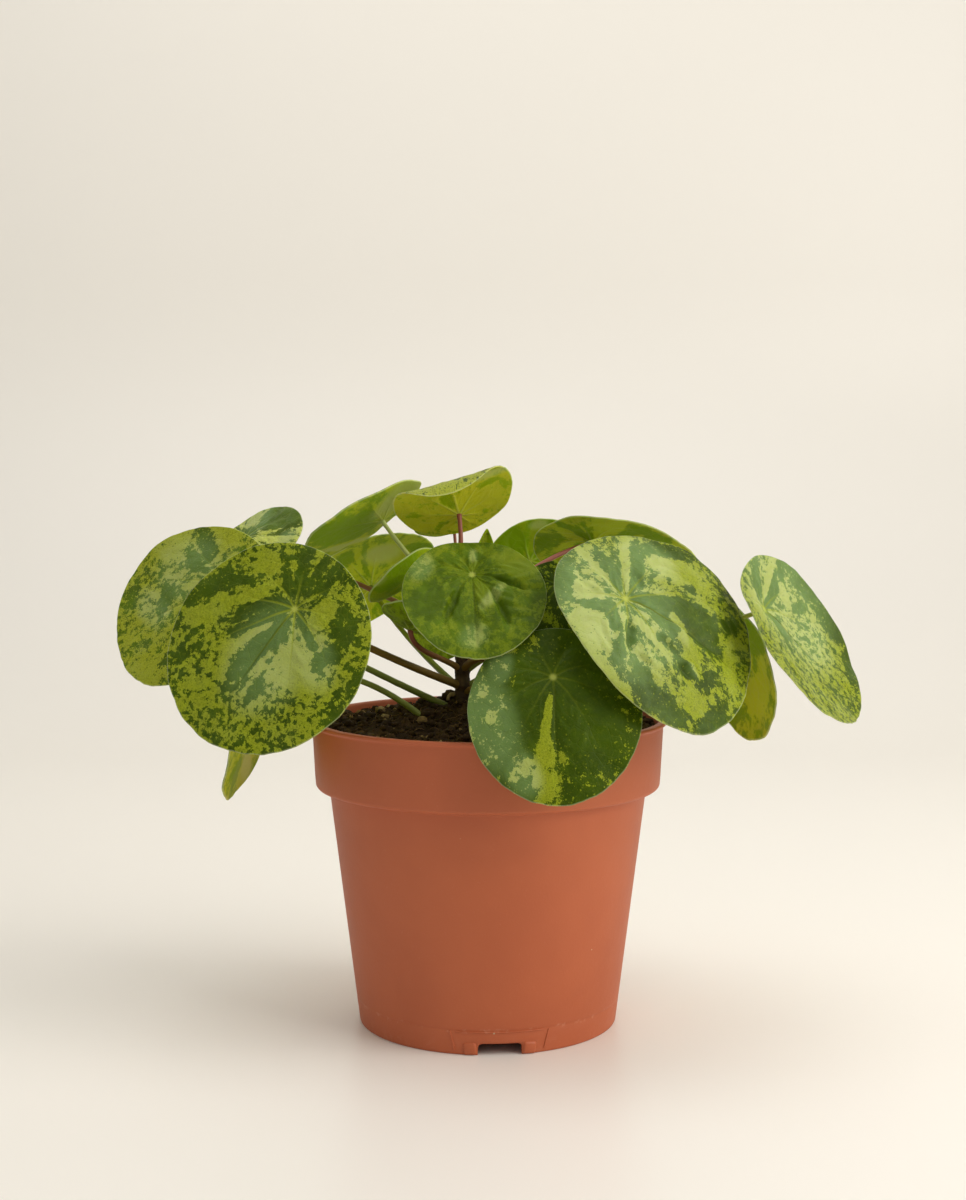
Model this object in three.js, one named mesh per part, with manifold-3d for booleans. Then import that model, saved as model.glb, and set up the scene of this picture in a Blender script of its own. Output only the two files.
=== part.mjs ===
// A variegated pilea in a plastic nursery pot: a thin tapered pot, the soil that fills it, a short woody
// stem, and twenty round leaves, each a blade on its own stalk.
// Millimetres, +Z up. The origin is the middle of the pot's foot, on the surface it stands on. The front of
// the plant faces -Y.

import * as THREE from "three";
import { mergeVertices } from "three/addons/utils/BufferGeometryUtils.js";
import Module from "manifold-3d";

const wasm = await Module();
wasm.setup();

// ---------------------------------------------------------------- driving sizes

const CLEARANCE = 0.3; // between pieces that touch on the real plant

const POT = {
  height: 101.7,
  rimRadius: 60,
  beadHeight: 1.3,
  beadDepth: 1.3,
  collarBottom: 79,
  collarTopRadius: 58.7,
  collarBottomRadius: 57.6,
  collarCorner: 1.5,
  bodyTopRadius: 53.1,
  footRadius: 43.2,
  footWidth: 2.6,
  footChamfer: 0.5,
  wall: 1.5,
  floorUnderside: 4.2,
  sides: 48,
};

const NOTCH = { width: 14, height: 3.9, corner: 1.5, count: 3, firstTurn: 5 };
const DRAIN = { radius: 3.5, ringRadius: 24, count: 6, sides: 12 };

const SOIL = { edgeHeight: 98.4, moundHeight: 8.2, moundSpread: 30, relief: 0.9, rings: 7 };

const STEM = {
  x: -8.5,
  y: 0,
  bottom: 92,
  top: 134,
  lowRadius: 2.8,
  highRadius: 2.1,
  swelling: 0.3,
  swellings: 9,
  sides: 12,
};
const STUB = { height: 109, radius: 0.9, reach: 4.8, drop: 1.5 };

const BLADE = { thickness: 0.8, dimple: 1.1, dimpleReach: 4, waves: 7, wave: 0.35, join: 0.29 };
const BLADE_RINGS = [0.22, 0.5, 0.77, 1];
const SMALL_BLADE = 36; // blades shorter than this have fewer spokes
const STALK = { sides: 7, steps: 8, sinkInSoil: 4, startReach: 0.35, endReach: 0.3, tipShare: 0.72 };

// One row for each leaf, lengths in mm and angles in degrees:
// at      where the stalk meets the blade, level with the surface round its dimple
// faces   direction of the blade's upper face: azimuth from +X seen from above, and height above level
// turn    how far the tip is turned from straight downhill
// dome    how far the rim lies below the middle; a cupped blade has a negative one
// egg     how much wider the tip half is than the other
// droop   how far the tip bends down, curl the same but only near the rim
// fold    how far the halves rise on each side of the midrib
// root    height of the stalk on the stem, or [x, y] where it stands in the soil
// lift    height of the stalk's first stretch above level
// reach   how straight the stalk starts, as a share of its span, and sag how much it bends over at the blade
const LEAVES = [
  { name: "front_left", at: [-60, -45, 141.5], faces: [-104, 19], turn: -32,
    length: 69, width: 66, dome: 2,
    root: 112, lift: 19, thick: 1.4, tint: "red" },
  { name: "left", at: [-87.5, -8, 146.5], faces: [-121, 32], turn: -61,
    length: 61, width: 60, dome: 1, egg: 0.15, droop: 1, fold: 1,
    root: [-15, -1], lift: 25, thick: 1.2, tint: "green" },
  { name: "back_left", at: [-83.9, 20, 161], faces: [-134, 45], turn: 66,
    length: 41, width: 39, dome: 1,
    root: 126.5, lift: 36, sag: 0.3, thick: 1.0, tint: "red" },
  { name: "low_left", at: [-75.5, -14, 110.5], faces: [171, 19], turn: -31,
    length: 56, width: 53, dome: 1, droop: -1, fold: -1,
    root: [-22, -12], lift: 42, reach: 0.55, sag: 1.5, thick: 1.1, tint: "green" },
  { name: "high_left", at: [-36.4, 10, 168.2], faces: [157, 54], turn: 76,
    length: 47, width: 44.5, dome: -1, egg: -0.14, droop: -1,
    root: 130.5, lift: 60, thick: 0.95, tint: "green" },
  { name: "inner_back", at: [-43.5, 61, 142.8], faces: [127, 46], turn: 130,
    length: 54, width: 58, dome: 6, droop: 1, fold: -1.5,
    root: 110.5, lift: 18, thick: 1.15, tint: "green" },
  { name: "inner_left", at: [-23, -12, 152], faces: [158, 46], turn: 5,
    length: 27, width: 30, dome: -3,
    root: 123, lift: 45, thick: 0.9, tint: "red" },
  { name: "inner_small", at: [-25, -16, 133], faces: [50, 60], turn: -122,
    length: 26, width: 25, dome: -2, droop: -1,
    root: 117, lift: 38, thick: 1.1, tint: "red" },
  { name: "front_middle", at: [-5, -38, 151.5], faces: [-86, 41], turn: 1,
    length: 46, width: 45, dome: 1, fold: 3.5,
    root: 127, lift: 50, thick: 1.0, tint: "red" },
  { name: "top", at: [-9.7, -4, 170.3], faces: [105.4, 44], turn: 158,
    length: 39.5, width: 40.5, dome: -1, curl: 19, join: 0.275,
    root: 130.5, lift: 60, thick: 1.0, tint: "red" },
  { name: "top_small", at: [-12.1, 10, 169.5], faces: [115, 62], turn: 0,
    length: 24, width: 24,
    root: 130.5, lift: 60, thick: 0.7, tint: "red" },
  { name: "back_right", at: [16, 66, 151], faces: [78, 12], turn: -38,
    length: 51, width: 49, dome: 1.5,
    root: 122, lift: 45, thick: 1.0, tint: "green" },
  { name: "high_right", at: [36.5, 22, 160.5], faces: [70, 60], turn: -23,
    length: 60, width: 58, dome: 1, egg: 0.04,
    root: 126, lift: 57, reach: 0.42, sag: 0.68, thick: 1.0, tint: "red" },
  { name: "front_right", at: [42.5, -48, 145], faces: [-57, 36], turn: 53,
    length: 73, width: 70, dome: 5, egg: 0.22, droop: 3, fold: 1.5, join: 0.32,
    root: 110, lift: 15, thick: 1.2, tint: "red" },
  { name: "low_right", at: [85.5, 4, 127], faces: [22, 13], turn: 15,
    length: 50, width: 48, dome: 3,
    root: 111, lift: 35, thick: 1.0, tint: "green" },
  { name: "right", at: [89.5, -20, 139.5], faces: [-32, 31], turn: 39,
    length: 64, width: 62, dome: -1.5, egg: -0.05, fold: 2.5, join: 0.22,
    root: 116, lift: 42, thick: 1.05, tint: "green" },
  { name: "inner_right", at: [23.5, -7, 146.7], faces: [-85, 25], turn: 0,
    length: 30, width: 30, dome: 1,
    root: 121, lift: 40, thick: 0.9, tint: "green" },
  { name: "front_low", at: [19.5, -60, 122], faces: [-91, 24], turn: 3,
    length: 56, width: 53, dome: 3, egg: -0.05,
    root: 117, lift: 38, thick: 1.3, tint: "red" },
  { name: "back", at: [-13.5, 50, 128], faces: [131, 18], turn: 142,
    length: 36, width: 34, dome: 4,
    root: 117, lift: 45, thick: 0.95, tint: "green" },
  { name: "youngest", at: [-0.5, 0, 151.5], faces: [-100, 8], turn: 180,
    length: 19, width: 6.5, fold: 2,
    root: 131, lift: 62, thick: 0.6, tint: "green" },
];

const FINISH = {
  pot: { color: 0xa8583c, roughness: 0.62, metalness: 0 },
  soil: { color: 0x2a1a10, roughness: 0.95, metalness: 0 },
  stem: { color: 0x3f2a1c, roughness: 0.85, metalness: 0 },
  blade: { color: 0x7d8f2a, roughness: 0.42, metalness: 0 },
  red: { color: 0x7c4a3a, roughness: 0.5, metalness: 0 },
  green: { color: 0x8b9a3e, roughness: 0.5, metalness: 0 },
};

// ---------------------------------------------------------------- helpers

const radians = THREE.MathUtils.degToRad;

// A closed geometry as a solid that can be joined and cut.
function solidOf(geometry) {
  const bare = geometry.index ? geometry.toNonIndexed() : geometry.clone();
  bare.deleteAttribute("normal");
  bare.deleteAttribute("uv");
  const merged = mergeVertices(bare, 1e-3);
  return new wasm.Manifold(
    new wasm.Mesh({
      numProp: 3,
      vertProperties: merged.attributes.position.array,
      triVerts: new Uint32Array(merged.index.array),
    }),
  );
}

function geometryOf(solid) {
  const mesh = solid.getMesh();
  const geometry = new THREE.BufferGeometry();
  geometry.setAttribute("position", new THREE.BufferAttribute(mesh.vertProperties, mesh.numProp));
  geometry.setIndex(new THREE.BufferAttribute(mesh.triVerts, 1));
  geometry.computeVertexNormals();
  return geometry;
}

// A lathed solid about +Z. Its outline is a list of [radius, height] points, from the axis to the axis.
function lathe(outline, sides) {
  const points = outline.map(([radius, height]) => new THREE.Vector2(radius, height));
  return new THREE.LatheGeometry(points, sides).rotateX(Math.PI / 2);
}

function cylinder(radius, low, high, sides) {
  return lathe([[0, low], [radius, low], [radius, high], [0, high]], sides);
}

// A round rod along a curve, which thins evenly from the first radius to the last.
function rod(curve, firstRadius, lastRadius) {
  const section = new THREE.Shape();
  for (let i = 0; i < STALK.sides; i++) {
    const angle = (2 * Math.PI * i) / STALK.sides;
    const place = [firstRadius * Math.cos(angle), firstRadius * Math.sin(angle)];
    if (i === 0) section.moveTo(...place);
    else section.lineTo(...place);
  }
  const geometry = new THREE.ExtrudeGeometry(section, { steps: STALK.steps, extrudePath: curve });
  const centres = curve.getSpacedPoints(STALK.steps);
  const position = geometry.attributes.position;
  const point = new THREE.Vector3();
  for (let i = 0; i < position.count; i++) {
    point.fromBufferAttribute(position, i);
    const distances = centres.map((centre) => centre.distanceTo(point));
    const step = distances.indexOf(Math.min(...distances));
    const share = THREE.MathUtils.lerp(1, lastRadius / firstRadius, step / STALK.steps);
    point.sub(centres[step]).multiplyScalar(share).add(centres[step]);
    position.setXYZ(i, point.x, point.y, point.z);
  }
  return geometry;
}

function piece(name, geometry, finish) {
  const mesh = new THREE.Mesh(geometry, new THREE.MeshStandardMaterial(FINISH[finish]));
  mesh.name = name;
  return mesh;
}

// ---------------------------------------------------------------- pot

function bodyRadius(height) {
  return THREE.MathUtils.mapLinear(height, 0, POT.collarBottom, POT.footRadius, POT.bodyTopRadius);
}

function potOutline() {
  const beadBottom = POT.height - POT.beadHeight;
  const innerRim = POT.collarTopRadius - POT.wall;
  const step = POT.collarBottom + POT.wall;
  const floorTop = POT.floorUnderside + POT.wall;
  return [
    [0, POT.floorUnderside],
    [POT.footRadius - POT.footWidth, POT.floorUnderside],
    [POT.footRadius - POT.footWidth, 0],
    [POT.footRadius - POT.footChamfer, 0],
    [bodyRadius(POT.footChamfer), POT.footChamfer],
    [bodyRadius(POT.collarBottom), POT.collarBottom],
    [POT.collarBottomRadius - POT.collarCorner, POT.collarBottom],
    [POT.collarBottomRadius, POT.collarBottom + POT.collarCorner],
    [POT.collarTopRadius, beadBottom],
    [POT.rimRadius, beadBottom + POT.beadHeight / 3],
    [POT.rimRadius, POT.height - POT.beadHeight / 3],
    [POT.rimRadius - POT.beadHeight / 3, POT.height],
    [POT.rimRadius - POT.beadDepth, POT.height],
    [innerRim, beadBottom],
    [POT.collarBottomRadius - POT.wall, step + POT.collarCorner],
    [bodyRadius(POT.collarBottom) - POT.wall, step - POT.collarCorner],
    [bodyRadius(floorTop) - POT.wall, floorTop],
    [0, floorTop],
  ];
}

// A drain notch in the foot: a round-cornered gap that runs from under the floor out through the wall.
function notch(turn) {
  const half = NOTCH.width / 2;
  const arch = new THREE.Shape();
  arch.moveTo(-half, -1);
  arch.lineTo(half, -1);
  arch.lineTo(half, NOTCH.height - NOTCH.corner);
  arch.absarc(half - NOTCH.corner, NOTCH.height - NOTCH.corner, NOTCH.corner, 0, Math.PI / 2, false);
  arch.absarc(NOTCH.corner - half, NOTCH.height - NOTCH.corner, NOTCH.corner, Math.PI / 2, Math.PI, false);
  const inner = POT.footRadius - POT.footWidth - 2;
  return new THREE.ExtrudeGeometry(arch, { depth: 8, bevelEnabled: false, curveSegments: 3 })
    .rotateX(Math.PI / 2)
    .translate(0, -inner, 0)
    .rotateZ(radians(turn));
}

function makePot() {
  let pot = solidOf(lathe(potOutline(), POT.sides));
  for (let i = 0; i < NOTCH.count; i++) {
    pot = pot.subtract(solidOf(notch(NOTCH.firstTurn + (360 * i) / NOTCH.count)));
  }
  const floorTop = POT.floorUnderside + POT.wall;
  for (let i = 0; i < DRAIN.count; i++) {
    const hole = cylinder(DRAIN.radius, POT.floorUnderside - 1, floorTop + 1, DRAIN.sides)
      .translate(0, -DRAIN.ringRadius, 0)
      .rotateZ((2 * Math.PI * i) / DRAIN.count);
    pot = pot.subtract(solidOf(hole));
  }
  return geometryOf(pot);
}

// ---------------------------------------------------------------- soil and stem

function soilHeight(x, y) {
  const radius = Math.hypot(x - STEM.x / 2, y);
  const mound = SOIL.moundHeight * Math.exp(-((radius / SOIL.moundSpread) ** 2));
  const relief = Math.sin(x * 0.43 + 1.1) * Math.cos(y * 0.37 - 0.4) + 0.5 * Math.sin(x * 0.91 - y * 0.77);
  return SOIL.edgeHeight + mound + SOIL.relief * relief;
}

function makeSoil(holes) {
  const outside = (height) => bodyRadius(height) - POT.wall - CLEARANCE;
  const floorTop = POT.floorUnderside + POT.wall + CLEARANCE;
  const step = POT.collarBottom + POT.wall;
  const edge = POT.collarTopRadius - POT.wall - 2 * CLEARANCE;
  const collarInside = POT.collarBottomRadius - POT.wall - 2 * CLEARANCE;
  const outline = [
    [0, floorTop],
    [outside(floorTop), floorTop],
    [outside(POT.collarBottom), step - POT.collarCorner + 2 * CLEARANCE],
    [collarInside, step + POT.collarCorner + CLEARANCE],
  ];
  for (let ring = 0; ring <= SOIL.rings; ring++) {
    outline.push([edge * (1 - ring / SOIL.rings), SOIL.edgeHeight]);
  }
  const geometry = lathe(outline, POT.sides);
  const position = geometry.attributes.position;
  for (let i = 0; i < position.count; i++) {
    if (position.getZ(i) > SOIL.edgeHeight - 1) {
      position.setZ(i, soilHeight(position.getX(i), position.getY(i)));
    }
  }
  return geometryOf(holes.reduce((soil, hole) => soil.subtract(solidOf(hole)), solidOf(geometry)));
}

// The woody stem, swollen where old stalks have dropped off. Made larger by extra, it is its own clearance.
function stemGeometry(extra) {
  const steps = 2 * STEM.swellings;
  const outline = [[0, STEM.bottom - extra]];
  for (let i = 0; i <= steps; i++) {
    const share = i / steps;
    const radius = THREE.MathUtils.lerp(STEM.lowRadius, STEM.highRadius, share) + (i % 2) * STEM.swelling;
    outline.push([radius + extra, THREE.MathUtils.lerp(STEM.bottom - extra, STEM.top + extra, share)]);
  }
  outline.push([0, STEM.top + extra]);
  return lathe(outline, STEM.sides).translate(STEM.x, STEM.y, 0);
}

// The pale stub of a dropped leaf, which curls out of the stem to the left and down.
function stubGeometry() {
  const start = new THREE.Vector3(STEM.x, STEM.y, STUB.height);
  const curve = new THREE.QuadraticBezierCurve3(
    start,
    start.clone().add(new THREE.Vector3(-STUB.reach, -1, STUB.drop)),
    start.clone().add(new THREE.Vector3(-STUB.reach, -2, -STUB.drop)),
  );
  return rod(curve, STUB.radius, STUB.radius * 0.6);
}

// ---------------------------------------------------------------- leaves

// The blade's own axes: along the midrib to the tip, across it, and out of the upper face.
function bladeAxes(leaf) {
  const [azimuth, height] = leaf.faces.map(radians);
  const out = new THREE.Vector3(
    Math.cos(height) * Math.cos(azimuth),
    Math.cos(height) * Math.sin(azimuth),
    Math.sin(height),
  );
  const downhill = new THREE.Vector3(
    Math.sin(height) * Math.cos(azimuth),
    Math.sin(height) * Math.sin(azimuth),
    -Math.cos(height),
  );
  const along = downhill.applyAxisAngle(out, radians(leaf.turn));
  const across = new THREE.Vector3().crossVectors(out, along);
  return { along, across, out };
}

// A point of the blade's middle surface: angle round the blade from its tip, reach from the stalk to the rim.
function bladePoint(leaf, angle, reach) {
  const { length, width, dome = 0, egg = 0, droop = 0, curl = 0, fold = 0, join = BLADE.join } = leaf;
  const centre = (0.5 - join) * length;
  const x = reach * (centre + (length / 2) * Math.cos(angle));
  const y = reach * (width / 2) * Math.sin(angle) * (1 + egg * Math.cos(angle));
  const side = y / (width / 2);
  const fromMiddle = ((x - centre) / (length / 2)) ** 2 + side ** 2;
  const atStalk = ((2 * centre) / length) ** 2;
  const toTip = Math.max(x, 0) / (length * (1 - join));
  const size = length / 60;
  const z =
    -dome * (fromMiddle - atStalk) -
    droop * toTip ** 2 -
    curl * toTip ** 4 +
    fold * Math.sqrt(side ** 2 + 0.02) -
    BLADE.dimple * size * Math.exp(-((x ** 2 + y ** 2) / BLADE.dimpleReach ** 2)) +
    BLADE.wave * size * reach ** 3 * Math.sin(BLADE.waves * angle + length);
  return new THREE.Vector3(x, y, z);
}

// A thin closed sheet: both faces share one pattern of triangles, and a band joins them at the rim.
function bladeGeometry(leaf) {
  const spokes = leaf.length < SMALL_BLADE ? 16 : 24;
  const perFace = 1 + spokes * BLADE_RINGS.length;
  const positions = [];
  const triangles = [];
  for (const side of [1, -1]) {
    const push = (point) => positions.push(point.x, point.y, point.z + (side * BLADE.thickness) / 2);
    push(bladePoint(leaf, 0, 0));
    for (const reach of BLADE_RINGS) {
      for (let i = 0; i < spokes; i++) push(bladePoint(leaf, (2 * Math.PI * i) / spokes, reach));
    }
  }
  const at = (ring, spoke) => 1 + ring * spokes + (spoke % spokes);
  const add = (a, b, c) => triangles.push(a, b, c, a + perFace, c + perFace, b + perFace);
  for (let i = 0; i < spokes; i++) {
    add(0, at(0, i), at(0, i + 1));
    for (let ring = 1; ring < BLADE_RINGS.length; ring++) {
      add(at(ring - 1, i), at(ring, i), at(ring, i + 1));
      add(at(ring - 1, i), at(ring, i + 1), at(ring - 1, i + 1));
    }
    const rim = at(BLADE_RINGS.length - 1, i);
    const next = at(BLADE_RINGS.length - 1, i + 1);
    triangles.push(rim, rim + perFace, next, next, rim + perFace, next + perFace);
  }
  const geometry = new THREE.BufferGeometry();
  geometry.setAttribute("position", new THREE.Float32BufferAttribute(positions, 3));
  geometry.setIndex(triangles);
  geometry.computeVertexNormals();
  return geometry;
}

function bladeMesh(leaf) {
  const { along, across, out } = bladeAxes(leaf);
  const mesh = piece("blade_" + leaf.name, bladeGeometry(leaf), "blade");
  mesh.position.set(...leaf.at);
  mesh.quaternion.setFromRotationMatrix(new THREE.Matrix4().makeBasis(along, across, out));
  return mesh;
}

// The stalk's middle line, from the stem or the soil to just under the blade.
function stalkCurve(leaf) {
  const inSoil = Array.isArray(leaf.root);
  const [x, y] = inSoil ? leaf.root : [STEM.x, STEM.y];
  const start = new THREE.Vector3(x, y, inSoil ? soilHeight(x, y) : leaf.root);
  const { out } = bladeAxes(leaf);
  const end = new THREE.Vector3(...leaf.at);
  const chord = end.clone().sub(start);
  const length = chord.length();
  const azimuth = Math.atan2(chord.y, chord.x);
  const lift = radians(leaf.lift);
  const first = new THREE.Vector3(
    Math.cos(lift) * Math.cos(azimuth),
    Math.cos(lift) * Math.sin(azimuth),
    Math.sin(lift),
  );
  const last = out.clone().multiplyScalar(0.6).addScaledVector(chord.normalize(), 0.4);
  last.z -= leaf.sag ?? 0;
  last.normalize();
  const slant = leaf.thick * STALK.tipShare * Math.sqrt(1 - last.dot(out) ** 2);
  end.addScaledVector(out, bladePoint(leaf, 0, 0).z - BLADE.thickness / 2 - CLEARANCE - slant);
  if (inSoil) start.addScaledVector(first, -STALK.sinkInSoil);
  return new THREE.CubicBezierCurve3(
    start,
    start.clone().addScaledVector(first, (leaf.reach ?? STALK.startReach) * length),
    end.clone().addScaledVector(last, -STALK.endReach * length),
    end,
  );
}

function stalkGeometry(leaf, extra) {
  return rod(stalkCurve(leaf), leaf.thick + extra, leaf.thick * STALK.tipShare + extra);
}

// ---------------------------------------------------------------- the plant

const plant = new THREE.Group();
plant.name = "potted_pilea";

const stemClearance = solidOf(stemGeometry(CLEARANCE));
const inSoil = LEAVES.filter((leaf) => Array.isArray(leaf.root));

plant.add(piece("pot", makePot(), "pot"));
const holes = [stemGeometry(CLEARANCE), ...inSoil.map((leaf) => stalkGeometry(leaf, CLEARANCE))];
plant.add(piece("soil", makeSoil(holes), "soil"));
plant.add(piece("stem", geometryOf(solidOf(stemGeometry(0)).add(solidOf(stubGeometry()))), "stem"));

for (const leaf of LEAVES) {
  const stalk = solidOf(stalkGeometry(leaf, 0)).subtract(stemClearance);
  plant.add(piece("stalk_" + leaf.name, geometryOf(stalk), leaf.tint));
  plant.add(bladeMesh(leaf));
}

export default plant;
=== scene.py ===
"""A variegated pilea in a plastic nursery pot, dressed for a plain studio picture.

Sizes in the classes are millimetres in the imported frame, +Z up, the front towards -Y; meshes are made in metres.
"""

import logging
import math
import random
from dataclasses import dataclass, field
from enum import Enum
from typing import Callable, Optional, Sequence, Union

import bmesh
import bpy
from mathutils import Matrix, Vector, noise

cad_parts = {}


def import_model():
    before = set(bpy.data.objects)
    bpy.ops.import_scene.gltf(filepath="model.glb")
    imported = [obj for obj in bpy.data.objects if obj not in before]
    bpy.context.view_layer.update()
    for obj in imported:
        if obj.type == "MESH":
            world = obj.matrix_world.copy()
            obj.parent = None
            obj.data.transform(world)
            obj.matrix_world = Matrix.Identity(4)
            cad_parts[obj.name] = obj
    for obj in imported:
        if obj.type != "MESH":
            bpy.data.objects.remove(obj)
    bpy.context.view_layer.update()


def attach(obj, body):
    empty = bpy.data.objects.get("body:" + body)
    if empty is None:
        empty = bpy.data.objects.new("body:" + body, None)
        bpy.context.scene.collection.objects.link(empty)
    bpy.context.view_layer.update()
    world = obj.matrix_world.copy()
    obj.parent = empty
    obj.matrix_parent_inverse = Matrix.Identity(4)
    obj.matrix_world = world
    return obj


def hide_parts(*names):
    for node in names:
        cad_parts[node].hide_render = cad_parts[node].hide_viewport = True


BMesh, BMVert = bmesh.types.BMesh, bmesh.types.BMVert
BMEdge, BMFace = bmesh.types.BMEdge, bmesh.types.BMFace
Material, Object = bpy.types.Material, bpy.types.Object
MM = 0.001
BODY = "root"
# how close two points count as one
WELD = 1e-4
# the share of a path over which its direction is read
LOOK_AHEAD = 0.01
# the rise from which a direction counts as upright
STEEP = 0.9
log = logging.getLogger("pilea")


# ---------------------------------------------------------------- choices and tones


class Tone(Enum):
    """Colours of the plant, its soil and its pot, as seen in neutral light; the sheen tones are painted sheen, and
    the gold and glow tones are partly painted light shining through the leaves.
    """

    DEEP = "2c3d03"
    FOREST = "435808"
    MOSS = "58700e"
    LEAF = "67790f"
    OLIVE = "7a8516"
    LIME = "949f22"
    CITRON = "a2a82c"
    # the gold and glow tones: bright yellow-greens that on the undersides are partly painted light shining through
    # the blade
    GOLD = "cfd02c"
    GLOW_PALE = "cfd668"
    GLOW = "bccb24"
    GLOW_GREEN = "98b00f"
    GLOW_DEEP = "83a40b"
    # painted sheen: the dark and light leaf tones under a bluish sheen of reflected light
    BLOOM_DARK = "6f8a4c"
    BLOOM_LIGHT = "b0bb70"
    PALE = "c2cc78"
    CREAM = "d6d9ae"
    STALK_RED = "965442"
    STALK_BROWN = "7d6226"
    STALK_GREEN = "87913c"
    PEAT = "33220b"
    PEAT_WARM = "644a1e"
    FIBRE = "8a6a3a"
    CRUMB = "b79c6c"
    BARK = "3c2610"
    BARK_PALE = "7a5c34"
    POT = "bb5e32"
    POT_DARK = "a34c27"
    POT_SCUFF = "dba283"
    FLOOR = "f3efe7"

    @property
    def linear(self) -> tuple[float, float, float, float]:
        """The tone as linear red, green, blue and alpha, by the curve of common screens."""
        parts = [int(self.value[i : i + 2], 16) / 255 for i in (0, 2, 4)]
        red, green, blue = [c / 12.92 if c <= 0.04045 else ((c + 0.055) / 1.055) ** 2.4 for c in parts]
        return (red, green, blue, 1.0)


class Tint(Enum):
    """The two kinds of stalk, named as their material slots are."""

    RED = "stalk_red"
    GREEN = "stalk_green"


# ---------------------------------------------------------------- shader maths

Number = Union[int, float]


@dataclass(frozen=True)
class Clouds:
    """Cloud noise: clouds per unit, how many finer layers, how strong these are, and how far it is bent."""

    scale: float
    detail: float = 2.0
    rough: float = 0.5
    bent: float = 0.0


class Value:
    """A number or colour that varies over a surface: one output socket with the usual operators."""

    def __init__(self, tree: "Tree", socket: bpy.types.NodeSocket) -> None:
        """Wraps a socket.

        Args:
            tree: the node tree that the socket belongs to.
            socket: the output socket.
        """
        self.tree = tree
        self.socket = socket

    def _math(self, operation: str, *others: Union["Value", Number]) -> "Value":
        """Adds a Math node.

        Args:
            operation: the Math node's operation.
            others: the node's inputs, in order.

        Returns:
            The node's result.
        """
        return self.tree.node("ShaderNodeMath", {"operation": operation}, dict(enumerate(others)))

    def __add__(self, other: Union["Value", Number]) -> "Value":
        """Sum."""
        return self._math("ADD", self, other)

    __radd__ = __add__

    def __sub__(self, other: Union["Value", Number]) -> "Value":
        """Difference."""
        return self._math("SUBTRACT", self, other)

    def __rsub__(self, other: Number) -> "Value":
        """Difference from a number."""
        return self._math("SUBTRACT", other, self)

    def __mul__(self, other: Union["Value", Number]) -> "Value":
        """Product."""
        return self._math("MULTIPLY", self, other)

    __rmul__ = __mul__

    def __truediv__(self, other: Union["Value", Number]) -> "Value":
        """Quotient."""
        return self._math("DIVIDE", self, other)

    def __pow__(self, other: Number) -> "Value":
        """Power."""
        return self._math("POWER", self, other)

    def size(self) -> "Value":
        """The value without its sign."""
        return self._math("ABSOLUTE", self)

    def clamp(self) -> "Value":
        """The value held between 0 and 1."""
        return self.tree.node("ShaderNodeClamp", inputs={0: self})

    def smooth(self, low: Number, high: Number) -> "Value":
        """Rises smoothly from 0 at low to 1 at high.

        Args:
            low: where it is 0.
            high: where it is 1.

        Returns:
            The eased value.
        """
        if low > high:
            return 1.0 - self.smooth(high, low)
        return self.tree.node(
            "ShaderNodeMapRange",
            {"interpolation_type": "SMOOTHSTEP"},
            {"Value": self, "From Min": low, "From Max": high},
        )


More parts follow.
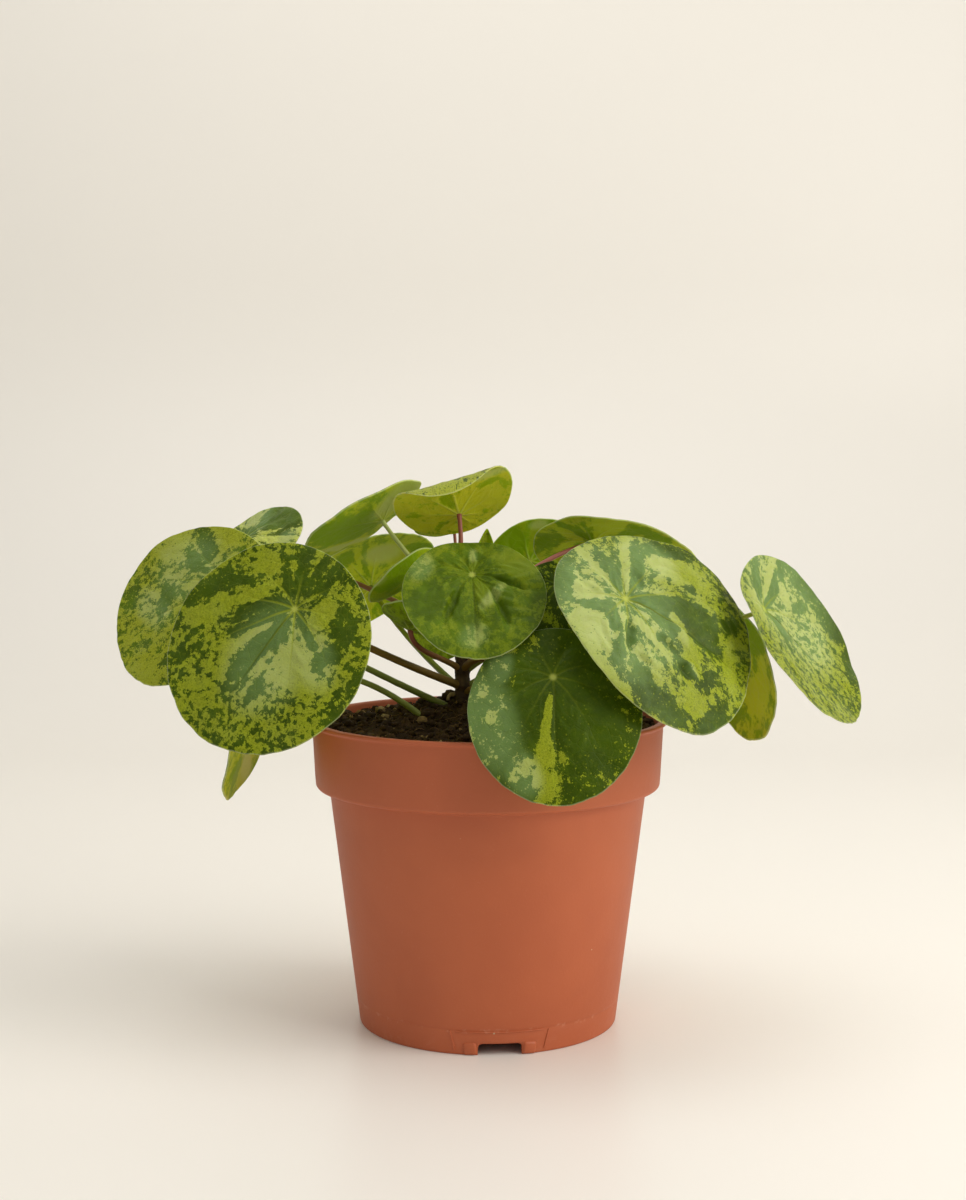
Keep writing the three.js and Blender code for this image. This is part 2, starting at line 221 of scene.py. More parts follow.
class Tree:
    """A material under construction."""

    def __init__(self, name: str) -> None:
        """Starts an empty material.

        Args:
            name: the material's name.
        """
        self.material = bpy.data.materials.new(name)
        self.material.use_nodes = True
        self.nodes = self.material.node_tree.nodes
        self.links = self.material.node_tree.links
        self.nodes.clear()

    def node(
        self,
        kind: str,
        settings: Optional[dict[str, object]] = None,
        inputs: Optional[dict[Union[str, int], object]] = None,
        output: Union[str, int] = 0,
    ) -> Value:
        """Adds any node.

        Args:
            kind: the node's type.
            settings: its properties, and for a colour ramp its "stops" as (place, tone) pairs.
            inputs: numbers, colours or Values for its sockets, by name or number.
            output: the output socket wanted, by name or number.

        Returns:
            That output.
        """
        made = self.nodes.new(kind)
        for name, setting in (settings or {}).items():
            if name == "stops":
                self._set_stops(made.color_ramp, setting)
            else:
                setattr(made, name, setting)
        for name, given in (inputs or {}).items():
            socket = made.inputs[name]
            if isinstance(given, Value):
                self.links.new(given.socket, socket)
            else:
                socket.default_value = given.linear if isinstance(given, Tone) else given
        return Value(self, made.outputs[output])

    @staticmethod
    def _set_stops(ramp: bpy.types.ColorRamp, stops: Sequence[tuple[float, Tone]]) -> None:
        """Gives a colour ramp its stops.

        Args:
            ramp: the ramp.
            stops: (place, tone) pairs in rising order, at least two.
        """
        while len(ramp.elements) < len(stops):
            ramp.elements.new(1.0)
        for element, (place, tone) in zip(ramp.elements, stops):
            element.position = place
            element.color = tone.linear

    def attribute(self, name: str) -> Value:
        """The piece's own attribute of that name, as a vector."""
        return self.node("ShaderNodeAttribute", {"attribute_name": name}, output="Vector")

    def place(self) -> Value:
        """The point in object space, in metres."""
        return self.node("ShaderNodeTexCoord", output="Object")

    def split(self, vector: Value) -> tuple[Value, Value, Value]:
        """The three parts of a vector."""
        first = self.node("ShaderNodeSeparateXYZ", inputs={0: vector})
        outputs = first.socket.node.outputs
        return first, Value(self, outputs[1]), Value(self, outputs[2])

    def join(self, x: Union[Value, Number], y: Union[Value, Number], z: Union[Value, Number]) -> Value:
        """A vector of three numbers."""
        return self.node("ShaderNodeCombineXYZ", inputs={0: x, 1: y, 2: z})

    def scaled(self, vector: Value, factor: Union[Value, Number]) -> Value:
        """A vector times a number."""
        return self.node("ShaderNodeVectorMath", {"operation": "SCALE"}, {0: vector, "Scale": factor})

    def added(self, vector: Value, other: tuple[float, float, float]) -> Value:
        """A vector plus a constant one."""
        return self.node("ShaderNodeVectorMath", {"operation": "ADD"}, {0: vector, 1: other})

    def length(self, vector: Value) -> Value:
        """The length of a vector."""
        return self.node("ShaderNodeVectorMath", {"operation": "LENGTH"}, {0: vector}, "Value")

    def noise(self, vector: Value, clouds: Clouds) -> Value:
        """Cloud noise from 0 to 1.

        Args:
            vector: where it is read.
            clouds: what it is like.

        Returns:
            The noise.
        """
        inputs: dict[Union[str, int], object] = {
            "Vector": vector,
            "Scale": clouds.scale,
            "Detail": clouds.detail,
            "Roughness": clouds.rough,
            "Distortion": clouds.bent,
        }
        return self.node("ShaderNodeTexNoise", inputs=inputs, output="Fac")

    def cells(self, vector: Value, scale: float, feature: str = "F1") -> Value:
        """How far a place is from the middle of its cell, or from its border for DISTANCE_TO_EDGE.

        Args:
            vector: where it is read.
            scale: how many cells there are per unit.
            feature: what the distance is measured to.

        Returns:
            The distance.
        """
        inputs: dict[Union[str, int], object] = {"Vector": vector, "Scale": scale}
        return self.node("ShaderNodeTexVoronoi", {"feature": feature}, inputs, "Distance")

    def mix(self, factor: Union[Value, Number], first: object, second: object) -> Value:
        """Blends two colours.

        Args:
            factor: 0 gives the first, 1 the second.
            first: a tone or a Value.
            second: a tone or a Value.

        Returns:
            The blended colour.
        """
        return self.node("ShaderNodeMix", {"data_type": "RGBA"}, {0: factor, 6: first, 7: second}, 2)

    def paint(self, base: object, *coats: tuple[Union[Value, Number], object]) -> object:
        """Paints tones over a base, one over the other.

        Args:
            base: the tone or Value underneath.
            coats: how far each coat covers what is under it, and its tone or Value.

        Returns:
            The painted colour.
        """
        for cover, tone in coats:
            base = self.mix(cover, base, tone)
        return base

    def bump(self, height: Value, normal: Optional[Value] = None) -> Value:
        """A normal bumped by a height in millimetres.

        Args:
            height: the height.
            normal: the normal under it, if any.

        Returns:
            The bumped normal.
        """
        inputs: dict[Union[str, int], object] = {"Height": height, "Distance": MM, "Strength": 1.0}
        if normal is not None:
            inputs["Normal"] = normal
        return self.node("ShaderNodeBump", inputs=inputs)

    def finish(self, constants: dict[str, object], **varying: Value) -> Material:
        """Ends the material in one Principled shader.

        Args:
            constants: socket values that are the same all over the surface.
            varying: values for Base Color (colour), Roughness (rough) and Normal (normal).

        Returns:
            The material.
        """
        names = {"colour": "Base Color", "rough": "Roughness", "normal": "Normal"}
        inputs: dict[Union[str, int], object] = {names[key]: value for key, value in varying.items()}
        inputs.update(constants)
        shader = self.node("ShaderNodeBsdfPrincipled", inputs=inputs)
        self.node_output(shader)
        return self.material

    def node_output(self, shader: Value) -> None:
        """Links a shader to the material's surface."""
        output = self.nodes.new("ShaderNodeOutputMaterial")
        self.links.new(shader.socket, output.inputs["Surface"])


# ---------------------------------------------------------------- pieces

Marker = Callable[[Sequence[BMVert], float], None]
Maker = Callable[[BMesh, object], None]


def stand(name: str, data: object) -> Object:
    """Puts a new object into the scene.

    Args:
        name: its name.
        data: its mesh, lamp or camera.

    Returns:
        The object.
    """
    made = bpy.data.objects.new(name, data)
    bpy.context.scene.collection.objects.link(made)
    return made


def written(name: str, mesh: BMesh) -> bpy.types.Mesh:
    """Writes a mesh under construction out as mesh data.

    Args:
        name: the data's name.
        mesh: the mesh. It is freed.

    Returns:
        The data.
    """
    data = bpy.data.meshes.new(name)
    mesh.to_mesh(data)
    mesh.free()
    return data


def merge(mesh: BMesh, part: BMesh) -> None:
    """Adds one mesh to another.

    Args:
        mesh: the mesh that grows.
        part: the mesh that is added. It is freed.
    """
    data = written("merged_part", part)
    mesh.from_mesh(data)
    bpy.data.meshes.remove(data)


class Piece:
    """A mesh of the object: built in millimetres, kept in metres at the origin."""

    def __init__(self, name: str) -> None:
        """Starts an empty mesh.

        Args:
            name: the piece's name.
        """
        self.name = name
        self.mesh = bmesh.new()

    def keep(self, material: Material, nodes: Sequence[str]) -> Object:
        """Ends the mesh and puts the piece on the frame.

        Args:
            material: its finish.
            nodes: the CAD nodes that it stands for.

        Returns:
            The new object.
        """
        bmesh.ops.scale(self.mesh, vec=(MM, MM, MM), verts=self.mesh.verts)
        for face in self.mesh.faces:
            face.smooth = True
        data = written(self.name, self.mesh)
        made = stand(self.name, data)
        data.materials.append(material)
        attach(made, BODY)
        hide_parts(*nodes)
        log.info("%s: %d faces", self.name, len(data.polygons))
        return made


def spin_profile(
    mesh: BMesh, outline: Sequence[tuple[float, float]], steps: int
) -> list[BMVert]:
    """Spins an outline of (radius, height) points a full turn about +Z.

    Args:
        mesh: the mesh that it is added to.
        outline: the points, from one end on the axis to the other.
        steps: how many facets go round.

    Returns:
        The vertices of the spun shape.
    """
    verts = [mesh.verts.new((radius, 0.0, height)) for radius, height in outline]
    edges = [mesh.edges.new(pair) for pair in zip(verts, verts[1:])]
    before = set(mesh.verts) - set(verts)
    bmesh.ops.spin(
        mesh,
        geom=verts + edges,
        cent=(0, 0, 0),
        axis=(0, 0, 1),
        angle=2 * math.pi,
        steps=steps,
        use_merge=True,
    )
    new = [vert for vert in mesh.verts if vert not in before]
    bmesh.ops.remove_doubles(mesh, verts=new, dist=WELD)
    return [vert for vert in mesh.verts if vert not in before]


def round_edges(
    mesh: BMesh, edges: Sequence[BMEdge], radius: float, segments: int
) -> None:
    """Rounds edges.

    Args:
        mesh: the mesh that they are in.
        edges: the edges.
        radius: how far the rounding reaches from each.
        segments: how many facets it has.
    """
    bmesh.ops.bevel(
        mesh, geom=edges, offset=radius, segments=segments, profile=0.5, affect="EDGES", material=-1
    )


def sweep(
    mesh: BMesh,
    path: Callable[[float], Vector],
    radius: Callable[[float], float],
    sides: int,
    steps: int,
    mark: Marker,
) -> None:
    """Sweeps a round section along a path and closes both ends.

    Args:
        mesh: the mesh that it is added to.
        path: the middle line, from 0 to 1.
        radius: the section's radius, from 0 to 1.
        sides: how many facets go round.
        steps: how many rings there are along it.
        mark: called with each ring's vertices and its place, to set their attributes.
    """
    ring = bmesh.ops.create_circle(mesh, cap_ends=False, segments=sides, radius=1.0)["verts"]
    edges = list({edge for vert in ring for edge in vert.link_edges})
    first = list(edges)
    upright = abs((path(LOOK_AHEAD) - path(0.0)).normalized().z) > STEEP
    side = Vector((1.0, 0.0, 0.0)) if upright else Vector((0.0, 0.0, 1.0))
    for step in range(steps + 1):
        share = step / steps
        ahead = (path(min(share + LOOK_AHEAD, 1.0)) - path(max(share - LOOK_AHEAD, 0.0))).normalized()
        side = (side - ahead * side.dot(ahead)).normalized()
        other = ahead.cross(side)
        if step:
            grown = bmesh.ops.extrude_edge_only(mesh, edges=edges)["geom"]
            edges = [item for item in grown if isinstance(item, BMEdge) and item.is_boundary]
            ring = ordered_like(ring, [item for item in grown if isinstance(item, BMVert)])
        middle = path(share)
        size = radius(share)
        for index, vert in enumerate(ring):
            angle = 2 * math.pi * index / sides
            vert.co = middle + (side * math.cos(angle) + other * math.sin(angle)) * size
        mark(ring, share)
    bmesh.ops.holes_fill(mesh, edges=first + edges, sides=sides)


def ordered_like(
    ring: Sequence[BMVert], grown: Sequence[BMVert]
) -> list[BMVert]:
    """Puts a newly extruded ring in the order of the ring it came from.

    Args:
        ring: the old ring's vertices.
        grown: the new ring's vertices.

    Returns:
        The new vertices, each in its old neighbour's place.
    """
    wanted = set(grown)
    return [next(v for e in old.link_edges for v in (e.other_vert(old),) if v in wanted) for old in ring]


def marker(layer: object, number: Callable[[float], float]) -> Marker:
    """Makes what notes a number on each ring of a sweep.

    Args:
        layer: the attribute that holds it.
        number: the number at a place from 0 to 1.

    Returns:
        What marks a ring.
    """

    def mark(ring: Sequence[BMVert], share: float) -> None:
        """Notes the number on one ring."""
        for vert in ring:
            vert[layer] = Vector((number(share), 0, 0))

    return mark


def polar(radius: float, bearing: float) -> Vector:
    """The point of the ground at a radius and a bearing."""
    return Vector((radius * math.cos(bearing), radius * math.sin(bearing), 0))


def heading(azimuth: float, lift: float) -> Vector:
    """The direction with an azimuth and a rise over the ground, both in radians."""
    return Vector((math.cos(lift) * math.cos(azimuth), math.cos(lift) * math.sin(azimuth), math.sin(lift)))


# ---------------------------------------------------------------- pot


@dataclass(frozen=True)
class PotPlastic:
    """Matt terracotta-coloured plastic: faint flow marks, fine grain, dust, and scuffs round the foot.

    The plain numbers are how strongly each shows, and the depths are in millimetres.
    """

    flow: float = 0.35
    flecks: float = 0.10
    foot_scuffs: float = 0.1
    band_scuffs: float = 0.3
    dust: float = 0.7
    grain_depth: float = 0.035
    ripple_depth: float = 0.05
    parting_height: float = 8.0
    band: tuple[float, float] = (0.0011, 0.0002)
    specks: float = 150.0

    FLOW = Clouds(22.0, 3.0, 0.55, 0.4)
    GRAIN = Clouds(1500.0, 2.0, 0.6)
    SCUFFS = Clouds(260.0, 4.0, 0.65)
    DUSTY = Clouds(55.0)
    RIPPLE = Clouds(420.0)

    def material(self) -> Material:
        """The finish of the pot.

        Returns:
            The material.
        """
        tree = Tree("pot_plastic")
        place = tree.place()
        _, _, z = tree.split(place)
        broad, fine = tree.noise(place, self.FLOW), tree.noise(place, self.GRAIN)
        foot = z.smooth(self.parting_height * MM, 0.0)
        scuffs = tree.noise(place, self.SCUFFS).smooth(0.52, 0.68)
        band = (z - self.parting_height * MM).size().smooth(*self.band)
        dusty = tree.noise(place, self.DUSTY).smooth(0.55, 0.6)
        dust = tree.cells(place, self.specks).smooth(0.06, 0.03) * dusty
        colour = tree.paint(
            Tone.POT,
            (broad.smooth(0.35, 0.75) * self.flow, Tone.POT_DARK),
            (fine.smooth(0.62, 0.8) * self.flecks, Tone.POT_SCUFF),
            (foot * scuffs * self.foot_scuffs + band * scuffs * self.band_scuffs, Tone.POT_SCUFF),
            (dust * self.dust, Tone.CREAM),
        )
        rough = fine * 0.12 + broad * 0.1 + 0.44
        height = fine * self.grain_depth + tree.noise(place, self.RIPPLE) * self.ripple_depth
        constants = {"IOR": 1.49, "Specular IOR Level": 0.6}
        return tree.finish(constants, colour=colour, rough=rough, normal=tree.bump(height))


@dataclass(frozen=True)
class Block:
    """A rounded block that stands a little out of the pot's wall, at either side of a notch.

    Its size is width, depth and height, and its height is its middle's. Its turn from the notch is in degrees,
    its lean in radians, proud is how far its face stands out, and rounding is the radius of its edges.
    """

    size: tuple[float, float, float]
    height: float
    turn: float
    lean: float
    proud: float
    rounding: float


@dataclass
class Pot:
    """The nursery pot: tapered body, collar with a beaded rim, and a foot ring with three drain notches.

    Edges of a block longer than LONG_EDGE are cut, so that it follows the wall.
    """

    height: float = 101.7
    rim_radius: float = 60.0
    bead: float = 1.3
    collar_bottom: float = 79.0
    collar_top_radius: float = 58.7
    collar_bottom_radius: float = 57.6
    collar_corner: float = 1.5
    body_top_radius: float = 53.1
    foot_radius: float = 43.2
    foot_width: float = 2.6
    wall: float = 1.5
    floor_underside: float = 4.2
    parting_height: float = 8.0
    notches: int = 3
    notch_width: float = 14.0
    notch_depth: float = 8.0
    notch_height: float = 3.9
    notch_corner: float = 1.5
    first_notch: float = 5.0
    drains: int = 6
    drain_radius: float = 3.5
    drain_ring: float = 24.0
    steps: int = 192

    LUG = Block((4.4, 1.9, 4.2), 2.1, 12.6, 0.1, 0.62, 0.9)
    PANEL_SIDE = Block((0.5, 0.8, 6.6), 4.6, 20.0, 0.2, 0.26, 0.15)
    PANEL_TOP = Block((28.6, 0.8, 0.4), 7.7, 0.0, 0.0, 0.2, 0.12)
    LONG_EDGE = 3

    def body_radius(self, height: float) -> float:
        """The outside radius of the tapered body at a height."""
        return self.foot_radius + (self.body_top_radius - self.foot_radius) * height / self.collar_bottom

    def notch_turn(self, index: int) -> float:
        """A notch's bearing from the front in degrees."""
        return self.first_notch + 360 / self.notches * index

    def outline(self) -> list[tuple[float, float]]:
        """The section of the pot's wall and floor.

        Returns:
            (radius, height) points from the underside of the floor round to its top.
        """
        bead_bottom = self.height - self.bead
        inner_rim = self.collar_top_radius - self.wall
        inner_foot = self.foot_radius - self.foot_width
        floor_top = self.floor_underside + self.wall
        corner = self.collar_corner
        part = self.parting_height
        # the floor's underside and the foot ring, its edges rounded
        points = [(0.0, self.floor_underside), (inner_foot - 0.3, self.floor_underside)]
        points += [(inner_foot, self.floor_underside - 0.3), (inner_foot, 0.25), (inner_foot + 0.25, 0.0)]
        points += [(self.foot_radius - 0.45, 0.0), (self.body_radius(0.15) - 0.1, 0.12)]
        # the body, with the groove of the parting line
        points += [(self.body_radius(h), h) for h in (0.5, 1.5, 4.5, part - 0.35)]
        points += [(self.body_radius(part) - 0.14, part), (self.body_radius(part + 0.3) - 0.03, part + 0.3)]
        points += [(self.body_radius(h), h) for h in (part + 1.0, 20.0, 35.0, 50.0, 65.0, 77.5, 78.6)]
        points += [(self.body_radius(79.0) + 0.4, 79.0)]
        # the collar
        points += [(self.collar_bottom_radius - corner - 0.4, self.collar_bottom)]
        for turn in range(7):
            angle = math.radians(-90 + 15 * turn)
            centre = (self.collar_bottom_radius - corner, self.collar_bottom + corner)
            points.append((centre[0] + corner * math.cos(angle), centre[1] + corner * math.sin(angle)))
        flare = self.collar_top_radius - self.collar_bottom_radius
        for height in (83.0, 88.0, 94.0, bead_bottom - 0.9):
            share = (height - self.collar_bottom) / (bead_bottom - self.collar_bottom)
            points.append((self.collar_bottom_radius + flare * share, height))
        # the bead of the rim
        points += [(self.collar_top_radius, bead_bottom - 0.15), (self.collar_top_radius + 0.3, bead_bottom)]
        points += [(self.rim_radius - 0.25, bead_bottom + 0.1), (self.rim_radius, bead_bottom + 0.35)]
        points += [(self.rim_radius, self.height - 0.35), (self.rim_radius - 0.12, self.height - 0.1)]
        points += [(self.rim_radius - 0.4, self.height), (self.rim_radius - self.bead, self.height)]
        # the inside
        points += [(inner_rim + 0.15, self.height - 0.12), (inner_rim, self.height - 0.5)]
        points += [(inner_rim, bead_bottom)]
        points += [(self.collar_bottom_radius - self.wall, 82.0), (self.body_top_radius - self.wall, 79.0)]
        points += [(self.body_radius(floor_top) - self.wall, floor_top), (0.0, floor_top)]
        return points

    def cutters(self) -> BMesh:
        """The notches and drain holes, as solids to take away.

        Returns:
            One mesh that holds them all.
        """
        mesh = bmesh.new()
        inner = self.foot_radius - self.foot_width - 2
        for index in range(self.notches):
            earlier = set(mesh.verts)
            made = bmesh.ops.create_cube(mesh, size=1.0)["verts"]
            bmesh.ops.scale(mesh, vec=(self.notch_width, self.notch_depth, 2 * self.notch_height), verts=made)
            own = {edge for vert in made for edge in vert.link_edges}
            deep = [edge for edge in own if abs(edge.verts[0].co.y - edge.verts[1].co.y) > 1]
            round_edges(mesh, [edge for edge in deep if edge.verts[0].co.z > 0], self.notch_corner, 4)
            fresh = [vert for vert in mesh.verts if vert not in earlier]
            bmesh.ops.translate(mesh, vec=(0, -inner - self.notch_depth / 2, 0), verts=fresh)
            turn = Matrix.Rotation(math.radians(self.notch_turn(index)), 3, "Z")
            bmesh.ops.rotate(mesh, matrix=turn, verts=fresh)
        for index in range(self.drains):
            turn = Matrix.Rotation(2 * math.pi * index / self.drains, 3, "Z")
            place = Matrix.Translation(turn @ Vector((0, -self.drain_ring, self.floor_underside + 1)))
            bmesh.ops.create_cone(
                mesh,
                cap_ends=True,
                segments=32,
                radius1=self.drain_radius,
                radius2=self.drain_radius,
                depth=4 * self.wall,
                matrix=place,
            )
        return mesh

    def build(self, finish: PotPlastic) -> Object:
        """Makes the pot and dresses it.

        Args:
            finish: the plastic.

        Returns:
            The pot.
        """
        piece = Piece("pot_shell")
        spin_profile(piece.mesh, self.outline(), self.steps)
        bmesh.ops.recalc_face_normals(piece.mesh, faces=piece.mesh.faces)
        cut = self.cutters()
        bmesh.ops.recalc_face_normals(cut, faces=cut.faces)
        piece.mesh = subtract(piece.mesh, cut)
        for index in range(self.notches):
            for side in (-1, 1):
                self.add_block(piece.mesh, self.LUG, index, side)
                self.add_block(piece.mesh, self.PANEL_SIDE, index, side)
            self.add_block(piece.mesh, self.PANEL_TOP, index, 1)
        return piece.keep(finish.material(), ["pot"])

    def add_block(self, mesh: BMesh, block: Block, notch: int, side: int) -> None:
        """Adds a rounded block to the wall at a notch.

        Args:
            mesh: the pot.
            block: the block.
            notch: the notch's number.
            side: -1 to its left, 1 to its right.
        """
        slope = math.atan2(self.body_top_radius - self.foot_radius, self.collar_bottom)
        bearing = math.radians(self.notch_turn(notch) + side * block.turn)
        part = bmesh.new()
        bmesh.ops.create_cube(part, size=1.0)
        bmesh.ops.scale(part, vec=block.size, verts=part.verts)
        round_edges(part, part.edges[:], block.rounding, 3)
        long = [edge for edge in part.edges if edge.calc_length() > self.LONG_EDGE]
        bmesh.ops.subdivide_edges(part, edges=long, cuts=9, use_grid_fill=True)
        bmesh.ops.rotate(part, matrix=Matrix.Rotation(side * block.lean, 3, "Y"), verts=part.verts)
        bmesh.ops.rotate(part, matrix=Matrix.Rotation(slope, 3, "X"), verts=part.verts)
        for vert in part.verts:
            radius = self.body_radius(block.height) + block.proud - block.size[1] / 2 - vert.co.y
            angle = bearing + vert.co.x / self.body_radius(block.height)
            level = max(0.1, vert.co.z + block.height)
            vert.co = Vector((radius * math.sin(angle), -radius * math.cos(angle), level))
        merge(mesh, part)


def subtract(body: BMesh, tool: BMesh) -> BMesh:
    """Takes one closed mesh away from another.

    Args:
        body: the mesh that is cut. It is freed.
        tool: the mesh that cuts it. It is freed.

    Returns:
        The cut mesh.
    """
    made = [stand("cut_work", written("cut_work", mesh)) for mesh in (body, tool)]
    cut = made[0].modifiers.new("cut", "BOOLEAN")
    cut.operation = "DIFFERENCE"
    cut.solver = "EXACT"
    cut.object = made[1]
    graph = bpy.context.evaluated_depsgraph_get()
    result = bmesh.new()
    result.from_mesh(made[0].evaluated_get(graph).to_mesh())
    for holder in made:
        data = holder.data
        bpy.data.objects.remove(holder)
        bpy.data.meshes.remove(data)
    return result


# ---------------------------------------------------------------- soil and stem


@dataclass(frozen=True)
class Peat:
    """Dark moist potting soil, with a shade for each crumb and fibre from the piece's own attribute."""

    clod_depth: float = 0.9
    grain_depth: float = 0.35

    CLODS = Clouds(130.0, 5.0, 0.7)
    GRAIN = Clouds(900.0, 4.0, 0.7)

    def material(self) -> Material:
        """The finish of the soil.

        Returns:
            The material.
        """
        tree = Tree("peat")
        place = tree.place()
        shade, _, _ = tree.split(tree.attribute("shade"))
        broad, fine = tree.noise(place, self.CLODS), tree.noise(place, self.GRAIN)
        colour = tree.paint(
            Tone.PEAT,
            (broad.smooth(0.42, 0.72) * 0.6, Tone.PEAT_WARM),
            (fine.smooth(0.62, 0.75) * 0.5, Tone.FIBRE),
            (shade.smooth(0.3, 0.7) * 0.75, Tone.FIBRE),
            (shade.smooth(0.75, 1.0), Tone.CRUMB),
        )
        normal = tree.bump(broad * self.clod_depth + fine * self.grain_depth)
        return tree.finish({"Specular IOR Level": 0.25}, colour=colour, rough=fine * 0.2 + 0.75, normal=normal)


@dataclass(frozen=True)
class Bark:
    """The stem's dark corky skin, paler on the stub of a dropped leaf."""

    ring_depth: float = 0.16
    lump_depth: float = 0.25
    grain_depth: float = 0.08
    ring_stretch: float = 0.3

    LUMPS = Clouds(300.0, 4.0, 0.6)
    RINGS = Clouds(1600.0, 3.0, 0.6)
    GRAIN = Clouds(1700.0, 4.0, 0.65)

    def material(self) -> Material:
        """The finish of the stem.

        Returns:
            The material.
        """
        tree = Tree("bark")
        place = tree.place()
        shade, _, _ = tree.split(tree.attribute("shade"))
        x, y, z = tree.split(place)
        broad, fine = tree.noise(place, self.LUMPS), tree.noise(place, self.GRAIN)
        rings = tree.noise(tree.join(x * self.ring_stretch, y * self.ring_stretch, z), self.RINGS)
        colour = tree.paint(
            Tone.BARK,
            (broad.smooth(0.45, 0.75) * 0.5, Tone.BARK_PALE),
            (shade * (0.6 + fine * 0.4), Tone.CRUMB),
        )
        height = rings * self.ring_depth + broad * self.lump_depth + fine * self.grain_depth
        return tree.finish({}, colour=colour, rough=fine * 0.2 + 0.62, normal=tree.bump(height))


@dataclass
class Stem:
    """The short woody stem, ringed where old stalks have dropped off, and the pale stub of one of them.

    The crown is the share of the stem that rounds off at its top. LUMPS are how close and how high the lumps are.
    """

    x: float = -8.5
    y: float = 0.0
    bottom: float = 92.0
    top: float = 134.0
    low_radius: float = 2.8
    high_radius: float = 2.1
    swelling: float = 0.3
    swellings: int = 9
    crown: float = 0.03
    stub_height: float = 109.0
    stub_radius: float = 0.9
    stub_reach: float = 4.8
    stub_drop: float = 1.5
    stub_pale: float = 0.9

    LUMPS = ((0.55, 0.35), (1.7, 0.14))

    def middle(self, share: float) -> Vector:
        """The stem's middle line from its foot to its top."""
        return Vector((self.x, self.y, self.bottom + (self.top - self.bottom) * share))

    def radius(self, share: float) -> float:
        """The stem's radius from its foot to its top, with its swellings and its rounded crown."""
        wave = 0.5 - 0.5 * math.cos(2 * math.pi * self.swellings * share)
        start = 1 - self.crown
        crown = 1.0 if share < start else math.sqrt(max(0.05, 1 - ((share - start) / self.crown) ** 2))
        return (self.low_radius + (self.high_radius - self.low_radius) * share + wave * self.swelling) * crown

    def stub(self, share: float) -> Vector:
        """The stub's middle line."""
        start = Vector((self.x, self.y, self.stub_height))
        knee = start + Vector((-self.stub_reach, -1, self.stub_drop))
        end = start + Vector((-self.stub_reach, -2, -self.stub_drop))
        return start * (1 - share) ** 2 + knee * 2 * share * (1 - share) + end * share**2

    def build(self, finish: Bark) -> Object:
        """Makes the stem and dresses it.

        Args:
            finish: the bark.

        Returns:
            The stem.
        """
        piece = Piece("stem_bark")
        layer = piece.mesh.verts.layers.float_vector.new("shade")
        sweep(piece.mesh, self.middle, self.radius, 28, 110, marker(layer, lambda share: 0.0))
        for vert in piece.mesh.verts:
            lump = sum(noise.noise(vert.co * often) * depth for often, depth in self.LUMPS)
            out = Vector((vert.co.x - self.x, vert.co.y - self.y, 0))
            if out.length > 0.01:
                vert.co += out.normalized() * lump
        pale = marker(layer, lambda share: self.stub_pale * min(1.0, share * 3))
        sweep(piece.mesh, self.stub, lambda share: self.stub_radius * (1 - 0.4 * share), 14, 16, pale)
        bmesh.ops.recalc_face_normals(piece.mesh, faces=piece.mesh.faces)
        return piece.keep(finish.material(), ["stem"])


@dataclass(frozen=True)
class Lumps:
    """One kind of loose lump on the soil: how far out they lie, their least and largest radius, and how many."""

    reach: float
    least: float
    largest: float
    count: int


@dataclass(frozen=True)
class Heap:
    """A small heap of lumps: its middle, how far it spreads, and how many there are."""

    x: float
    y: float
    spread: float
    count: int


